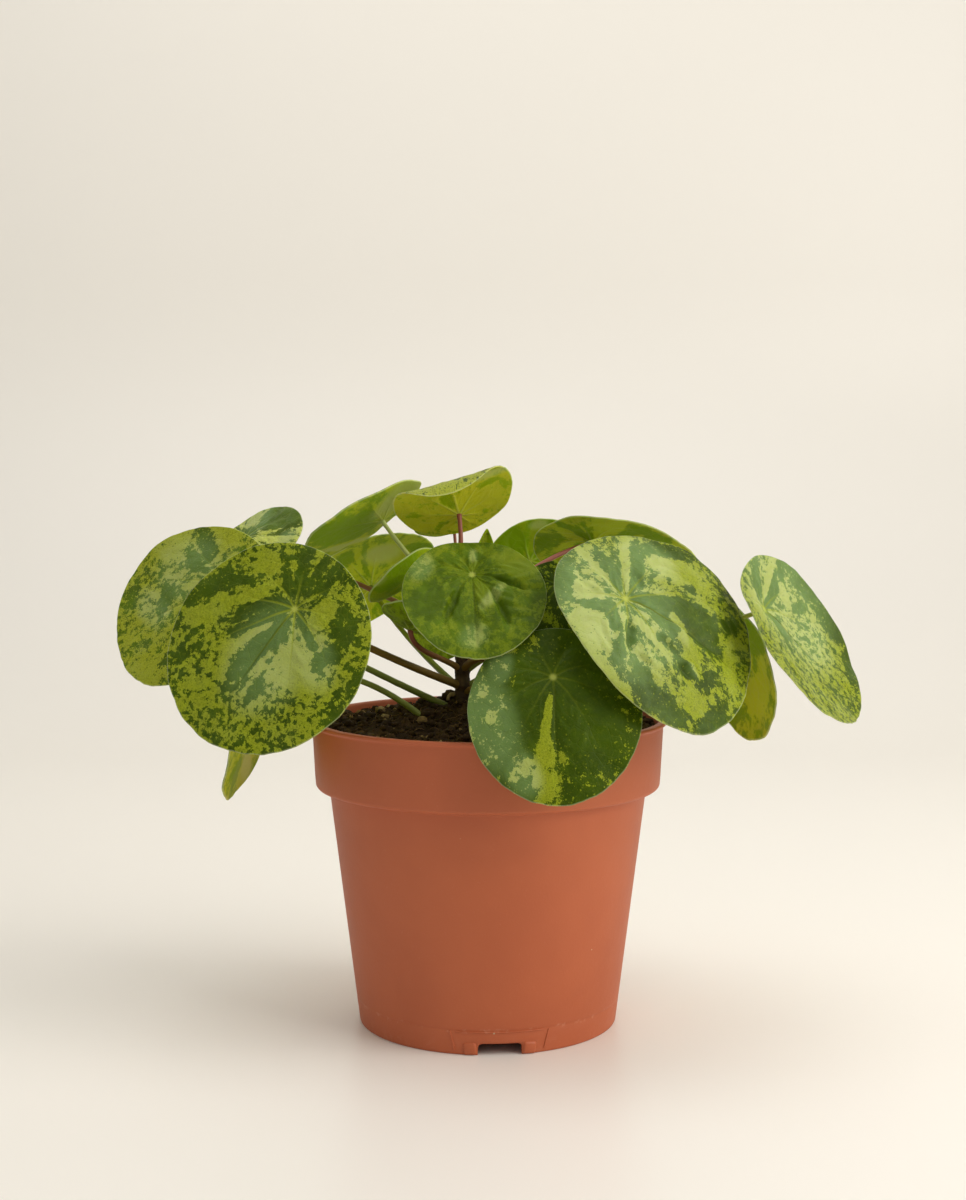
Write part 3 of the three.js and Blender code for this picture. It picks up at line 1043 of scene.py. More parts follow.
@dataclass
class Soil:
    """The soil: a low mound with relief, loose crumbs, clods and root fibres, down to the pot's floor.

    The lumps of the heaps have a radius within heaped. Loose bits are added in batches, which is quicker.
    """

    edge_height: float = 98.4
    mound_x: float = -4.25
    mound_height: float = 8.2
    mound_spread: float = 30.0
    relief: float = 0.9
    gap: float = 0.3
    rings: int = 62
    steps: int = 180
    crumbs: Lumps = Lumps(55.5, 0.25, 0.95, 1900)
    clods: Lumps = Lumps(54.5, 0.9, 1.9, 420)
    heaps: tuple[Heap, ...] = (Heap(-19, 5, 4.0, 60), Heap(-8.5, 0, 3.2, 40))
    heaped: tuple[float, float] = (0.9, 2.3)
    fibres: int = 400
    fibre_reach: float = 53.0
    fibre_radius: float = 0.1
    batch: int = 40
    seed: int = 11

    def height(self, x: float, y: float) -> float:
        """The soil's plain height at a place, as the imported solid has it."""
        radius = math.hypot(x - self.mound_x, y)
        mound = self.mound_height * math.exp(-((radius / self.mound_spread) ** 2))
        wave = math.sin(x * 0.43 + 1.1) * math.cos(y * 0.37 - 0.4) + 0.5 * math.sin(x * 0.91 - y * 0.77)
        return self.edge_height + mound + self.relief * wave

    def rough_height(self, x: float, y: float) -> float:
        """The soil's height with its fine relief."""
        spot = Vector((x, y, 3.7))
        lumps = noise.fractal(spot * 0.23, 0.9, 2.1, 5) * 1.4
        grit = abs(noise.noise(spot * 1.3)) * 0.9
        return self.height(x, y) + lumps + grit

    def outline(self, pot: Pot) -> list[tuple[float, float]]:
        """The section of the soil inside the pot.

        Args:
            pot: the pot that holds it.

        Returns:
            (radius, height) points from the floor up the wall and in to the axis.
        """
        inset = pot.wall + self.gap
        low = pot.floor_underside + inset
        points = [(0.0, low), (pot.body_radius(low) - inset, low), (pot.body_radius(60) - inset, 60.0)]
        points += [(pot.body_radius(78) - inset, 79.4), (pot.collar_bottom_radius - inset - 0.3, 82.5)]
        edge = pot.collar_top_radius - inset - 0.3
        points += [(edge, 94.0), (edge, 96.5)]
        points += [(edge * (1 - (ring / self.rings)), self.edge_height) for ring in range(self.rings + 1)]
        return points

    def build(self, pot: Pot, finish: Peat) -> Object:
        """Makes the soil and dresses it.

        Args:
            pot: the pot that holds it.
            finish: the peat.

        Returns:
            The soil.
        """
        piece = Piece("soil_peat")
        piece.mesh.verts.layers.float_vector.new("shade")
        for vert in spin_profile(piece.mesh, self.outline(pot), self.steps):
            if vert.co.z > self.edge_height - 0.01:
                vert.co.z = self.rough_height(vert.co.x, vert.co.y)
        bmesh.ops.recalc_face_normals(piece.mesh, faces=piece.mesh.faces)
        draw = random.Random(self.seed)
        loose = [
            (math.sqrt(draw.random()) * kind.reach, draw.uniform(kind.least, kind.largest))
            for kind in (self.crumbs, self.clods)
            for _ in range(kind.count)
        ]
        for start in range(0, len(loose), self.batch):
            items = loose[start : start + self.batch]
            lumps = [self.crumb(draw, polar(far, draw.uniform(0, 2 * math.pi)), size) for far, size in items]
            self.scatter(piece.mesh, lumps)
        spots = [
            Vector((heap.x + draw.gauss(0, heap.spread), heap.y + draw.gauss(0, heap.spread), 0))
            for heap in self.heaps
            for _ in range(heap.count)
        ]
        for start in range(0, len(spots), self.batch):
            near = spots[start : start + self.batch]
            self.scatter(piece.mesh, [self.crumb(draw, spot, draw.uniform(*self.heaped)) for spot in near])
        for _ in range(0, self.fibres, self.batch):
            self.scatter(piece.mesh, [self.fibre(draw) for _ in range(self.batch)])
        return piece.keep(finish.material(), ["soil"])

    def scatter(self, mesh: BMesh, makers: Sequence[Maker]) -> None:
        """Adds a batch of loose bits to the soil.

        Args:
            mesh: the soil.
            makers: what makes each bit, given a mesh and its shade attribute.
        """
        batch = bmesh.new()
        layer = batch.verts.layers.float_vector.new("shade")
        for make in makers:
            make(batch, layer)
        bmesh.ops.recalc_face_normals(batch, faces=batch.faces)
        merge(mesh, batch)

    def crumb(self, draw: random.Random, spot: Vector, size: float) -> Maker:
        """Plans one lump of soil, lying on the surface.

        Args:
            draw: the random source.
            spot: where it lies.
            size: its radius.

        Returns:
            What makes it.
        """
        stretch = Vector((draw.uniform(0.7, 1.3), draw.uniform(0.7, 1.3), draw.uniform(0.55, 0.9)))
        pale = draw.random()
        shade = draw.uniform(0.8, 1.0) if pale > 0.93 else draw.uniform(0.0, 0.5) if pale > 0.45 else 0.0
        turn = Matrix.Rotation(draw.uniform(0, 6.3), 3, "Z")
        key = Vector((draw.uniform(0, 90), draw.uniform(0, 90), 0))
        base = Vector((spot.x, spot.y, self.rough_height(spot.x, spot.y) + size * 0.25))

        def make(mesh: BMesh, layer: object) -> None:
            """Makes the lump."""
            for vert in bmesh.ops.create_icosphere(mesh, subdivisions=1 if size < 1 else 2, radius=size)["verts"]:
                lump = 1 + 0.55 * noise.noise(vert.co / size * 1.4 + key)
                vert.co = base + turn @ (Vector(a * b for a, b in zip(vert.co, stretch)) * lump)
                vert[layer] = Vector((shade, 0, 0))

        return make

    def fibre(self, draw: random.Random) -> Maker:
        """Plans one root fibre, which bows over the surface.

        Args:
            draw: the random source.

        Returns:
            What makes it.
        """
        start = polar(math.sqrt(draw.random()) * self.fibre_reach, draw.uniform(0, 2 * math.pi))
        bearing = draw.uniform(0, 2 * math.pi)
        span = draw.uniform(2.0, 7.5)
        bend = draw.uniform(-1.2, 1.2)
        rise = draw.uniform(0.1, 1.1)
        shade = draw.choice((0.35, 0.5, 0.62, 0.8))

        def middle(share: float) -> Vector:
            """The fibre's middle line."""
            spot = start + polar(1.0, bearing + bend * share) * span * (share - 0.5)
            spot.z = self.rough_height(spot.x, spot.y) + 0.15 + rise * math.sin(math.pi * share)
            return spot

        def make(mesh: BMesh, layer: object) -> None:
            """Makes the fibre."""
            sweep(mesh, middle, lambda share: self.fibre_radius, 4, 6, marker(layer, lambda share: shade))

        return make


# ---------------------------------------------------------------- leaves


class Mark(Enum):
    """What a patch of a blade is like, next to the rest of it: darker, lighter, under painted sheen, dented or
    bulging.
    """

    # each is (darkening, painted sheen, swell); a dent's slight darkening is painted shade, and a bulge's sheen is
    # a painted highlight on its rise
    DARK = (0.23, 0.0, 0.0)
    LIGHT = (-0.23, 0.0, 0.0)
    FILM = (0.0, 1.0, 0.0)
    DENT = (0.04, 0.0, -1.5)
    BULGE = (0.0, 0.6, 1.0)


@dataclass(frozen=True)
class Patch:
    """An elliptical place on a blade, in millimetres from the stalk along the midrib and across it."""

    mark: Mark
    x: float
    y: float
    length: float
    width: float
    turn: float

    def at(self, x: float, y: float) -> float:
        """How far a place belongs to the patch, from 0 to 1."""
        turn = math.radians(self.turn)
        along = (x - self.x) * math.cos(turn) + (y - self.y) * math.sin(turn)
        across = (y - self.y) * math.cos(turn) - (x - self.x) * math.sin(turn)
        share = min(max((1.3 - math.hypot(along / self.length, across / self.width)) / 0.75, 0.0), 1.0)
        return share * share * (3 - 2 * share)


def patches(**kinds: Sequence[tuple[float, float, float, float, float]]) -> tuple[Patch, ...]:
    """The patches of one blade.

    Args:
        kinds: each kind of mark's rows of x, y, length, width and turn.

    Returns:
        The patches.
    """
    return tuple(Patch(Mark[kind.upper()], *row) for kind, rows in kinds.items() for row in rows)


@dataclass(frozen=True)
class Marbling:
    """How a blade is marbled: its tones, how much of each shows, how streaked and speckled it is, and how much
    painted bluish sheen lies on it.

    FAN is the power of the distance by which streaks widen away from the stalk. NET and DOTS are cells per
    millimetre, and the clouds are per millimetre too.
    """

    dark: Tone = Tone.FOREST
    light: Tone = Tone.OLIVE
    # the underside tones: the blade's own paler underside, brightened as painted light shining through it
    under: Tone = Tone.GLOW
    under_dark: Tone = Tone.GLOW_DEEP
    share: float = 0.4
    streaks: float = 0.45
    speckles: float = 0.5
    grain: float = 0.2
    soft: float = 0.012
    # painted sheen: how strongly the bluish sheen of the sheen patches is painted on
    film: float = 0.25
    # painted sheen: how much bluish sheen is painted on in broad clouds all over the blade
    bloom: float = 0.0
    gloss: float = 0.06
    vein: float = 0.35
    rough: float = 0.42
    # the patches: darker, lighter, dented and bulging places, and places of painted sheen
    marks_and_sheen: tuple[Patch, ...] = ()

    BIAS_LIMIT = 0.3
    FAN = -0.66
    UNDER_SOFT = 0.08
    NET = 0.24
    DOTS = 0.8
    STREAK = Clouds(1.9, 7.0, 0.72, 0.25)
    BLOTS = Clouds(0.48, 5.0, 0.62, 0.15)
    CRUMB = Clouds(0.85, 5.0, 0.72)
    GRIT = Clouds(2.1, 4.0, 0.7)
    # the clouds of the painted sheen
    SHEEN_CLOUDS = Clouds(0.1, 5.0, 0.65)
    SHINE = Clouds(0.5, 3.0, 0.6)
    CELLS = Clouds(5.5)
    RIPPLE = Clouds(1.6, 3.0, 0.6)
    TONE = Clouds(0.08, 4.0, 0.6)
    UNDER_TONE = Clouds(0.06, 3.0)
    DOTTED = Clouds(0.3, 3.0, 0.6)

    def bias(self, x: float, y: float) -> tuple[float, float]:
        """How the patches change a place on the blade.

        Args:
            x: the place along the midrib.
            y: the place across it.

        Returns:
            What is added to the marbling, and how much painted sheen there is.
        """
        held = [(patch.mark.value, patch.at(x, y)) for patch in self.marks_and_sheen]
        dark = sum(value[0] * share for value, share in held)
        # painted sheen: the strongest of the patches' sheens here
        film = max([value[1] * share for value, share in held], default=0.0)
        return max(-self.BIAS_LIMIT, min(self.BIAS_LIMIT, dark)), film

    def swell(self, x: float, y: float) -> float:
        """How far the bulges and dents lift a place on the blade."""
        return sum(patch.mark.value[2] * patch.at(x, y) for patch in self.marks_and_sheen if patch.mark.value[2])

    def material(self, name: str, seed: float) -> Material:
        """The finish of one blade.

        Args:
            name: the material's name.
            seed: a number that makes this blade's marbling its own.

        Returns:
            The material.
        """
        tree = Tree(name)
        x, y, reach = tree.split(tree.attribute("blade"))
        vein_cos, vein_sin, side = tree.split(tree.attribute("vein"))
        # the patches' shift of the marbling, and their painted sheen
        bias, film, _ = tree.split(tree.attribute("marks_and_sheen"))
        point = tree.join(x, y, seed)
        flat = tree.join(x, y, 0.0)
        distance = tree.length(flat) + 0.01
        crumb, grit = tree.noise(point, self.CRUMB), tree.noise(point, self.GRIT)
        # the marbling: streaks that fan out from the stalk and blotches, broken up towards the rim
        fan = tree.added(tree.scaled(flat, distance**self.FAN), (0.0, 0.0, seed))
        blotch = tree.noise(point, Clouds(self.grain, 8.0, 0.74, 0.2))
        level = tree.noise(fan, self.STREAK) * self.streaks + blotch * (1 - self.streaks)
        level = level * 1.5 - 0.25 + bias
        level = level + (tree.noise(point, self.BLOTS) - 0.5) * (reach * self.speckles * 1.1)
        level = level + (crumb - 0.5) * (reach * self.speckles * 0.3 + 0.1)
        level = level + (grit - 0.5) * (reach * 0.45 + 0.1) * self.speckles
        cut = threshold(self.share)
        # the veins, the fine net between them, and the painted bluish sheen
        vein = self.veins(tree, vein_cos, vein_sin, distance, reach)
        spot = tree.join(x + crumb * 1.2, y + crumb * 1.2, seed)
        net = tree.cells(spot, self.NET, "DISTANCE_TO_EDGE").smooth(0.07, 0.0)
        cloud = tree.noise(point, self.SHEEN_CLOUDS)
        # painted bluish sheen: from the sheen patches and in broad clouds
        sheen_cover = film * (0.55 + cloud * 0.7) * self.film + cloud.smooth(0.42, 0.72) * self.bloom
        # both faces: the midrib, the pale eye over the stalk and the pale rim are on the upper one
        top = self.upper_colour(tree, level, cut, crumb, grit, point, reach, sheen_cover.clamp())
        rib = y.size().smooth(0.5, 0.1) * x.smooth(1.0, 6.0) * (1.0 - reach)
        top = tree.paint(
            top,
            (vein * self.vein + net * self.vein * 0.1, self.light),
            (rib * 0.6, Tone.DEEP),
            (distance.smooth(1.6, 0.4) * 0.5, Tone.GLOW_PALE),
            (reach.smooth(0.99, 0.997) * 0.25, Tone.CREAM),
        )
        under = tree.paint(
            self.lower_colour(tree, level, cut, point),
            # painted sheen on the underside too, paler
            (film * 0.6, Tone.PALE),
            (vein * 0.3 + net * 0.06, Tone.PALE),
            (reach.smooth(0.975, 0.992) * 0.4, Tone.CREAM),
        )
        back = 1.0 - side
        shine = tree.noise(point, self.SHINE)
        rough = (shine * 0.16 + self.rough - 0.08) * side + back * 0.6
        height = tree.noise(point, self.CELLS) * 0.05 + tree.noise(point, self.RIPPLE) * 0.13
        height = height - vein * side * 0.14 + vein * back * 0.25 - net * (side - 0.4) * 0.09
        constants = {
            "IOR": 1.42,
            "Specular IOR Level": self.gloss,
            "Subsurface Weight": 0.35,
            "Subsurface Radius": (0.7, 1.0, 0.15),
            "Subsurface Scale": 0.0012,
        }
        colour = tree.mix(side, under, top)
        return tree.finish(constants, colour=colour, rough=rough, normal=tree.bump(height))

    def veins(self, tree: Tree, cosine: Value, sine: Value, distance: Value, reach: Value) -> Value:
        """The main veins, which fade towards the rim.

        Args:
            tree: the material.
            cosine: the cosine of the place between two veins.
            sine: its sine.
            distance: the distance from the stalk.
            reach: the share of the way to the rim.

        Returns:
            1 on a vein, 0 off it.
        """
        angle = tree.node("ShaderNodeMath", {"operation": "ARCTAN2"}, {0: sine.size(), 1: cosine})
        width = 0.4 - reach * 0.26
        return (angle * distance / Leaf.VEINS / width).smooth(1.7, 0.3) * (1.0 - reach * 1.6).clamp()

    def upper_colour(
        self,
        tree: Tree,
        level: Value,
        cut: float,
        crumb: Value,
        grit: Value,
        point: Value,
        reach: Value,
        sheen_cover: Value,
    ) -> Value:
        """The colour of the upper face.

        Args:
            tree: the material.
            level: high where the blade is dark.
            cut: the level at which it turns dark.
            crumb: a fine noise.
            grit: a finer noise.
            point: the place on the blade.
            reach: the share of the way to the rim.
            sheen_cover: how much painted bluish sheen lies on it.

        Returns:
            The colour.
        """
        tone = tree.noise(point, self.TONE)
        light = tree.paint(
            self.light,
            (tone.smooth(0.4, 0.75) * 0.35, Tone.CITRON),
            (crumb.smooth(0.45, 0.7) * 0.3, self.dark),
            (grit.smooth(0.5, 0.6) * 0.45 * self.speckles, self.dark),
            # painted bluish sheen over the light tone
            (sheen_cover, Tone.BLOOM_LIGHT),
        )
        dark = tree.paint(
            self.dark,
            (tone.smooth(0.62, 0.4) * 0.5, Tone.DEEP),
            (crumb.smooth(0.5, 0.7) * 0.12, self.light),
            # painted bluish sheen over the dark tone
            (sheen_cover, Tone.BLOOM_DARK),
        )
        mask = level.smooth(cut - self.soft, cut + self.soft)
        # small round dots of the other tone
        dotted = tree.noise(point, self.DOTTED).smooth(0.66 - 0.2 * self.speckles, 0.76 - 0.2 * self.speckles)
        dots = (tree.cells(point, self.DOTS) + crumb * 0.2).smooth(0.36, 0.26) * dotted * (reach * 0.8 + 0.2)
        mask = mask * (1.0 - dots * 0.8 * self.speckles) + (1.0 - mask) * dots * self.speckles
        return tree.mix(mask, light, dark)

    def lower_colour(self, tree: Tree, level: Value, cut: float, point: Value) -> Value:
        """The colour of the underside, where the same marbling shows through, softly, in tones brightened as
        painted light shining through the blade.

        Args:
            tree: the material.
            level: high where the blade is dark.
            cut: the level at which it turns dark.
            point: the place on the blade.

        Returns:
            The colour.
        """
        tone = tree.noise(point, self.UNDER_TONE)
        light = tree.mix(tone.smooth(0.35, 0.7) * 0.4, self.under, Tone.CITRON)
        return tree.mix(level.smooth(cut - self.UNDER_SOFT, cut + self.UNDER_SOFT), light, self.under_dark)


def threshold(share: float) -> float:
    """The noise level that a given share of a blade lies above.

    Args:
        share: the share, from 0 to 1.

    Returns:
        The level.
    """
    clipped = min(max(share, 0.02), 0.98)
    return 0.5 - 0.075 * math.log(clipped / (1 - clipped))


@dataclass(frozen=True)
class StalkSkin:
    """A stalk's skin: smooth and juicy, brown-pink or green, paler towards the blade."""

    low: Tone
    high: Tone

    MOTTLE = Clouds(420.0, 4.0, 0.65)
    DOTS = Clouds(2600.0, 2.0, 0.6)

    def material(self, name: str) -> Material:
        """The finish of a stalk.

        Args:
            name: the material's name.

        Returns:
            The material.
        """
        tree = Tree(name)
        along, _, _ = tree.split(tree.attribute("along"))
        place = tree.place()
        mottle, dots = tree.noise(place, self.MOTTLE), tree.noise(place, self.DOTS)
        colour = tree.paint(
            self.low,
            (along.smooth(0.1, 0.95), self.high),
            (mottle.smooth(0.45, 0.75) * 0.4, self.high),
            (dots.smooth(0.62, 0.72) * 0.3, Tone.STALK_BROWN),
        )
        height = mottle * 0.08 + dots * 0.02
        return tree.finish({"IOR": 1.42}, colour=colour, rough=mottle * 0.2 + 0.34, normal=tree.bump(height))


@dataclass
class Leaf:
    """One leaf: a round blade joined near its middle to a curved stalk.

    The fields down to thick, and the blade's bends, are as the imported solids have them: the attach point, the
    azimuth and height that the upper face looks to, the turn of the tip, the blade's length and width, where the
    stalk starts (a height on the stem, or a place in the soil), how steeply it starts, and its radius.
    The dimple over the stalk has its full depth on a blade of MODEL_LENGTH. The rounded rim starts at RIM_START.
    """

    name: str
    at: tuple[float, float, float]
    faces: tuple[float, float]
    turn: float
    length: float
    width: float
    root: Union[float, tuple[float, float]]
    lift: float
    thick: float
    tint: Tint
    dome: float = 0.0
    egg: float = 0.0
    droop: float = 0.0
    curl: float = 0.0
    fold: float = 0.0
    point: float = 0.0
    join: float = 0.29
    reach: float = 0.35
    sag: float = 0.0
    quilt: float = 0.22
    crumple: float = 0.45
    marbling: Marbling = field(default_factory=Marbling)
    stalk_tones: tuple[Tone, Tone] = (Tone.STALK_GREEN, Tone.LIME)

    VEINS = 9
    THICKNESS = 0.8
    DIMPLE = 1.1
    DIMPLE_REACH = 4.0
    END_REACH = 0.3
    TIP_SHARE = 0.72
    SINK = 4.0
    MODEL_LENGTH = 60
    LARGE = 36
    LARGE_GRID = (42, 144)
    SMALL_GRID = (26, 96)
    RIM_START = 0.982
    RIM_WIDTH = 0.018
    RIM_SHARES = (0.988, 0.994, 0.9985, 1.0)
    FOOT_SWELL = 5.0
    TIP_FLARE = 2.2
    STALK_GRID = (18, 56)

    @property
    def seed(self) -> float:
        """A number of this leaf's own, from where it is."""
        return (self.at[0] * 1.37 + self.at[1] * 2.11 + self.at[2] * 0.73) % 97

    def axes(self) -> tuple[Vector, Vector, Vector]:
        """The blade's own directions: along the midrib to the tip, across it, and out of the upper face."""
        azimuth, height = (math.radians(value) for value in self.faces)
        out = heading(azimuth, height)
        slope = math.sin(height)
        downhill = Vector((slope * math.cos(azimuth), slope * math.sin(azimuth), -math.cos(height)))
        along = Matrix.Rotation(math.radians(self.turn), 3, out) @ downhill
        return along, out.cross(along), out

    def surface(self, angle: float, reach: float) -> Vector:
        """A point of the blade's middle surface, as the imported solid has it.

        Args:
            angle: the bearing from the tip.
            reach: the share of the way from the stalk to the rim.

        Returns:
            The point in the blade's own axes.
        """
        centre = (0.5 - self.join) * self.length
        x = reach * (centre + self.length / 2 * math.cos(angle))
        y = reach * self.width / 2 * math.sin(angle) * (1 + self.egg * math.cos(angle))
        y *= 1 - self.point * max(0.0, math.cos(angle)) ** 2
        side = y / (self.width / 2)
        from_middle = ((x - centre) / (self.length / 2)) ** 2 + side**2
        to_tip = max(x, 0.0) / (self.length * (1 - self.join))
        size = self.length / self.MODEL_LENGTH
        z = -self.dome * (from_middle - (2 * centre / self.length) ** 2)
        z -= self.droop * to_tip**2 + self.curl * to_tip**4
        z += self.fold * math.sqrt(side**2 + 0.02)
        z -= self.DIMPLE * size * math.exp(-((x**2 + y**2) / self.DIMPLE_REACH**2))
        z += 0.35 * size * reach**3 * math.sin(7 * angle + self.length)
        return Vector((x, y, z))

    def vein_phase(self, point: Vector, reach: float) -> float:
        """How far a place is round from one main vein to the next, as an angle that is 0 on a vein.

        Args:
            point: the place in the blade's own axes.
            reach: its share of the way to the rim.

        Returns:
            The angle in radians.
        """
        angle = math.atan2(point.y, point.x)
        sway = noise.noise(Vector((point.x * 0.05, point.y * 0.05, self.seed))) * 0.16 * min(1.0, reach * 3)
        return (angle + 0.34 * reach * math.sin(angle) + sway) * self.VEINS

    def relief(self, point: Vector, reach: float, phase: float) -> float:
        """The fine relief of the sheet: valleys on the veins and midrib, ripples between them and broad crumples.

        Args:
            point: the place in the blade's own axes.
            reach: its share of the way to the rim.
            phase: its vein phase.

        Returns:
            The height over the plain surface.
        """
        inward = min(1.0, reach * 2.5) * (1.0 - reach**6)
        bearing = phase / self.VEINS
        own = 0.6 + 0.8 * noise.noise(Vector((math.cos(bearing), math.sin(bearing), self.seed)) * 1.3)
        valley = ((0.5 + 0.5 * math.cos(phase)) ** 4) * self.quilt * own
        if point.x > 0:
            valley += math.exp(-((point.y / 0.8) ** 2)) * self.quilt * 0.8
        wrapped = abs(math.atan2(math.sin(phase), math.cos(phase)))
        radius = math.hypot(point.x, point.y)
        ripple = math.sin(radius * 1.15 - wrapped * 2.6) * math.sin(wrapped) * self.quilt * 0.4
        spot = Vector((point.x * 0.085, point.y * 0.085, self.seed))
        broad = noise.noise(spot) * self.crumple + noise.noise(spot * 2.7) * self.crumple * 0.35
        swell = self.marbling.swell(point.x, point.y)
        return (ripple - valley) * inward + broad * min(1.0, reach * 2) + swell * inward

    def build_blade(self) -> Object:
        """Makes the blade and dresses it.

        Returns:
            The blade.
        """
        piece = Piece("leaf_" + self.name)
        mesh = piece.mesh
        layers = [mesh.verts.layers.float_vector.new(name) for name in ("blade", "vein", "marks_and_sheen")]
        rings, spokes = self.LARGE_GRID if self.length > self.LARGE else self.SMALL_GRID
        shares = [(ring / rings) ** 1.1 * self.RIM_START for ring in range(rings + 1)]
        spin_profile(mesh, [(share, 0.0) for share in (*shares, *self.RIM_SHARES)], spokes)
        upper = list(mesh.verts)
        rim = [edge for edge in mesh.edges if edge.is_boundary]
        copied = bmesh.ops.duplicate(mesh, geom=upper + list(mesh.edges) + list(mesh.faces))["geom"]
        lower = [item for item in copied if isinstance(item, BMVert)]
        lower_rim = [item for item in copied if isinstance(item, BMEdge) and item.is_boundary]
        lower_faces = [item for item in copied if isinstance(item, BMFace)]
        other = set(lower_faces)
        upper_faces = [face for face in mesh.faces if face not in other]
        turned = lower_faces if upper_faces[0].normal.z > 0 else upper_faces
        bmesh.ops.reverse_faces(mesh, faces=turned)
        for verts, side in ((upper, 1), (lower, -1)):
            for vert in verts:
                self.place_vertex(vert, side, layers)
        bmesh.ops.bridge_loops(mesh, edges=rim + lower_rim)
        basis = Matrix(self.axes()).transposed().to_4x4()
        bmesh.ops.transform(mesh, matrix=Matrix.Translation(Vector(self.at)) @ basis, verts=mesh.verts)
        material = self.marbling.material("marbled_" + self.name, self.seed)
        return piece.keep(material, ["blade_" + self.name])

    def place_vertex(self, vert: BMVert, side: int, layers: Sequence[object]) -> None:
        """Moves a vertex of the flat disc onto the blade and notes where it lies.

        Args:
            vert: the vertex, at its bearing and share of the way to the rim.
            side: 1 on the upper face, -1 on the underside.
            layers: the attributes of the place on the blade, of the place between two veins, and of what the
                patches do there: their shift of the marbling and their painted sheen.
        """
        blade, vein, marks_and_sheen = layers
        share = min(1.0, math.hypot(vert.co.x, vert.co.y))
        angle = math.atan2(vert.co.y, vert.co.x)
        point = self.surface(angle, share)
        phase = self.vein_phase(point, share)
        bearing = Vector((math.cos(angle), math.sin(angle), self.seed))
        waves = 0.009 + 0.007 * noise.noise(bearing * 4) + 0.007 * noise.noise(bearing * 11)
        uneven = 1 - share * waves
        edge = max(0.0, (share - self.RIM_START) / self.RIM_WIDTH)
        half = self.THICKNESS / 2 * (1 - 0.25 * share**2) * math.sqrt(max(0.06, 1 - edge**2))
        level = point.z + self.relief(point, share, phase) + side * half
        vert[blade] = Vector((point.x, point.y, share))
        vert[vein] = Vector((math.cos(phase), math.sin(phase), 1.0 if side > 0 else 0.0))
        # the patches' shift of the marbling, and their painted sheen
        vert[marks_and_sheen] = Vector((*self.marbling.bias(point.x, point.y), 0.0))
        vert.co = Vector((point.x * uneven, point.y * uneven, level))

    def stalk_path(self, stem: Stem, soil: Soil) -> tuple[Callable[[float], Vector], float]:
        """The stalk's middle line.

        Args:
            stem: the stem that most stalks grow from.
            soil: the soil that the others stand in.

        Returns:
            The line as a function from 0 to 1, and its length from end to end.
        """
        grounded = isinstance(self.root, tuple)
        x, y = self.root if grounded else (stem.x, stem.y)
        start = Vector((x, y, soil.height(x, y) if grounded else self.root))
        _, _, out = self.axes()
        end = Vector(self.at)
        chord = end - start
        span = chord.length
        first = heading(math.atan2(chord.y, chord.x), math.radians(self.lift))
        last = out * 0.6 + chord.normalized() * 0.4
        last.z -= self.sag
        last.normalize()
        end += out * (self.surface(0, 0).z - self.THICKNESS / 2 + 0.12)
        if grounded:
            start -= first * self.SINK
        points = [start, start + first * self.reach * span, end - last * self.END_REACH * span, end]

        def line(share: float) -> Vector:
            """The cubic through the four points."""
            rest = 1 - share
            weights = (rest**3, 3 * rest**2 * share, 3 * rest * share**2, share**3)
            return sum((point * weight for point, weight in zip(points, weights)), Vector((0, 0, 0)))

        return line, span

    def build_stalk(self, stem: Stem, soil: Soil) -> Object:
        """Makes the stalk and dresses it.

        Args:
            stem: the stem that most stalks grow from.
            soil: the soil that the others stand in.

        Returns:
            The stalk.
        """
        piece = Piece("petiole_" + self.name)
        layer = piece.mesh.verts.layers.float_vector.new("along")
        line, span = self.stalk_path(stem, soil)
        foot = self.FOOT_SWELL / span
        tip = self.TIP_FLARE / span

        def radius(share: float) -> float:
            """The stalk's radius, swollen a little at its foot and flared under the blade."""
            plain = self.thick * (1 + (self.TIP_SHARE - 1) * share)
            swell = 0.16 * math.exp(-((share / foot) ** 2)) + 0.35 * math.exp(-(((1 - share) / tip) ** 2))
            return plain * (0.97 + swell * 0.6)

        sweep(piece.mesh, line, radius, *self.STALK_GRID, marker(layer, lambda share: share))
        bmesh.ops.recalc_face_normals(piece.mesh, faces=piece.mesh.faces)
        for vert in piece.mesh.verts:
            vert.co += vert.normal * noise.noise(vert.co * 0.6) * 0.06
        skin = StalkSkin(*self.stalk_tones).material("stalk_skin_" + self.name)
        return piece.keep(skin, ["stalk_" + self.name])


# ---------------------------------------------------------------- the leaves of this plant

BROWN_TO_RED = (Tone.STALK_BROWN, Tone.STALK_RED)
BROWN = (Tone.STALK_BROWN, Tone.STALK_BROWN)
RED = (Tone.STALK_RED, Tone.STALK_RED)
GREEN = (Tone.STALK_GREEN, Tone.STALK_GREEN)
GREEN_TO_PALE = (Tone.STALK_GREEN, Tone.PALE)
OLIVE = (Tone.OLIVE, Tone.OLIVE)
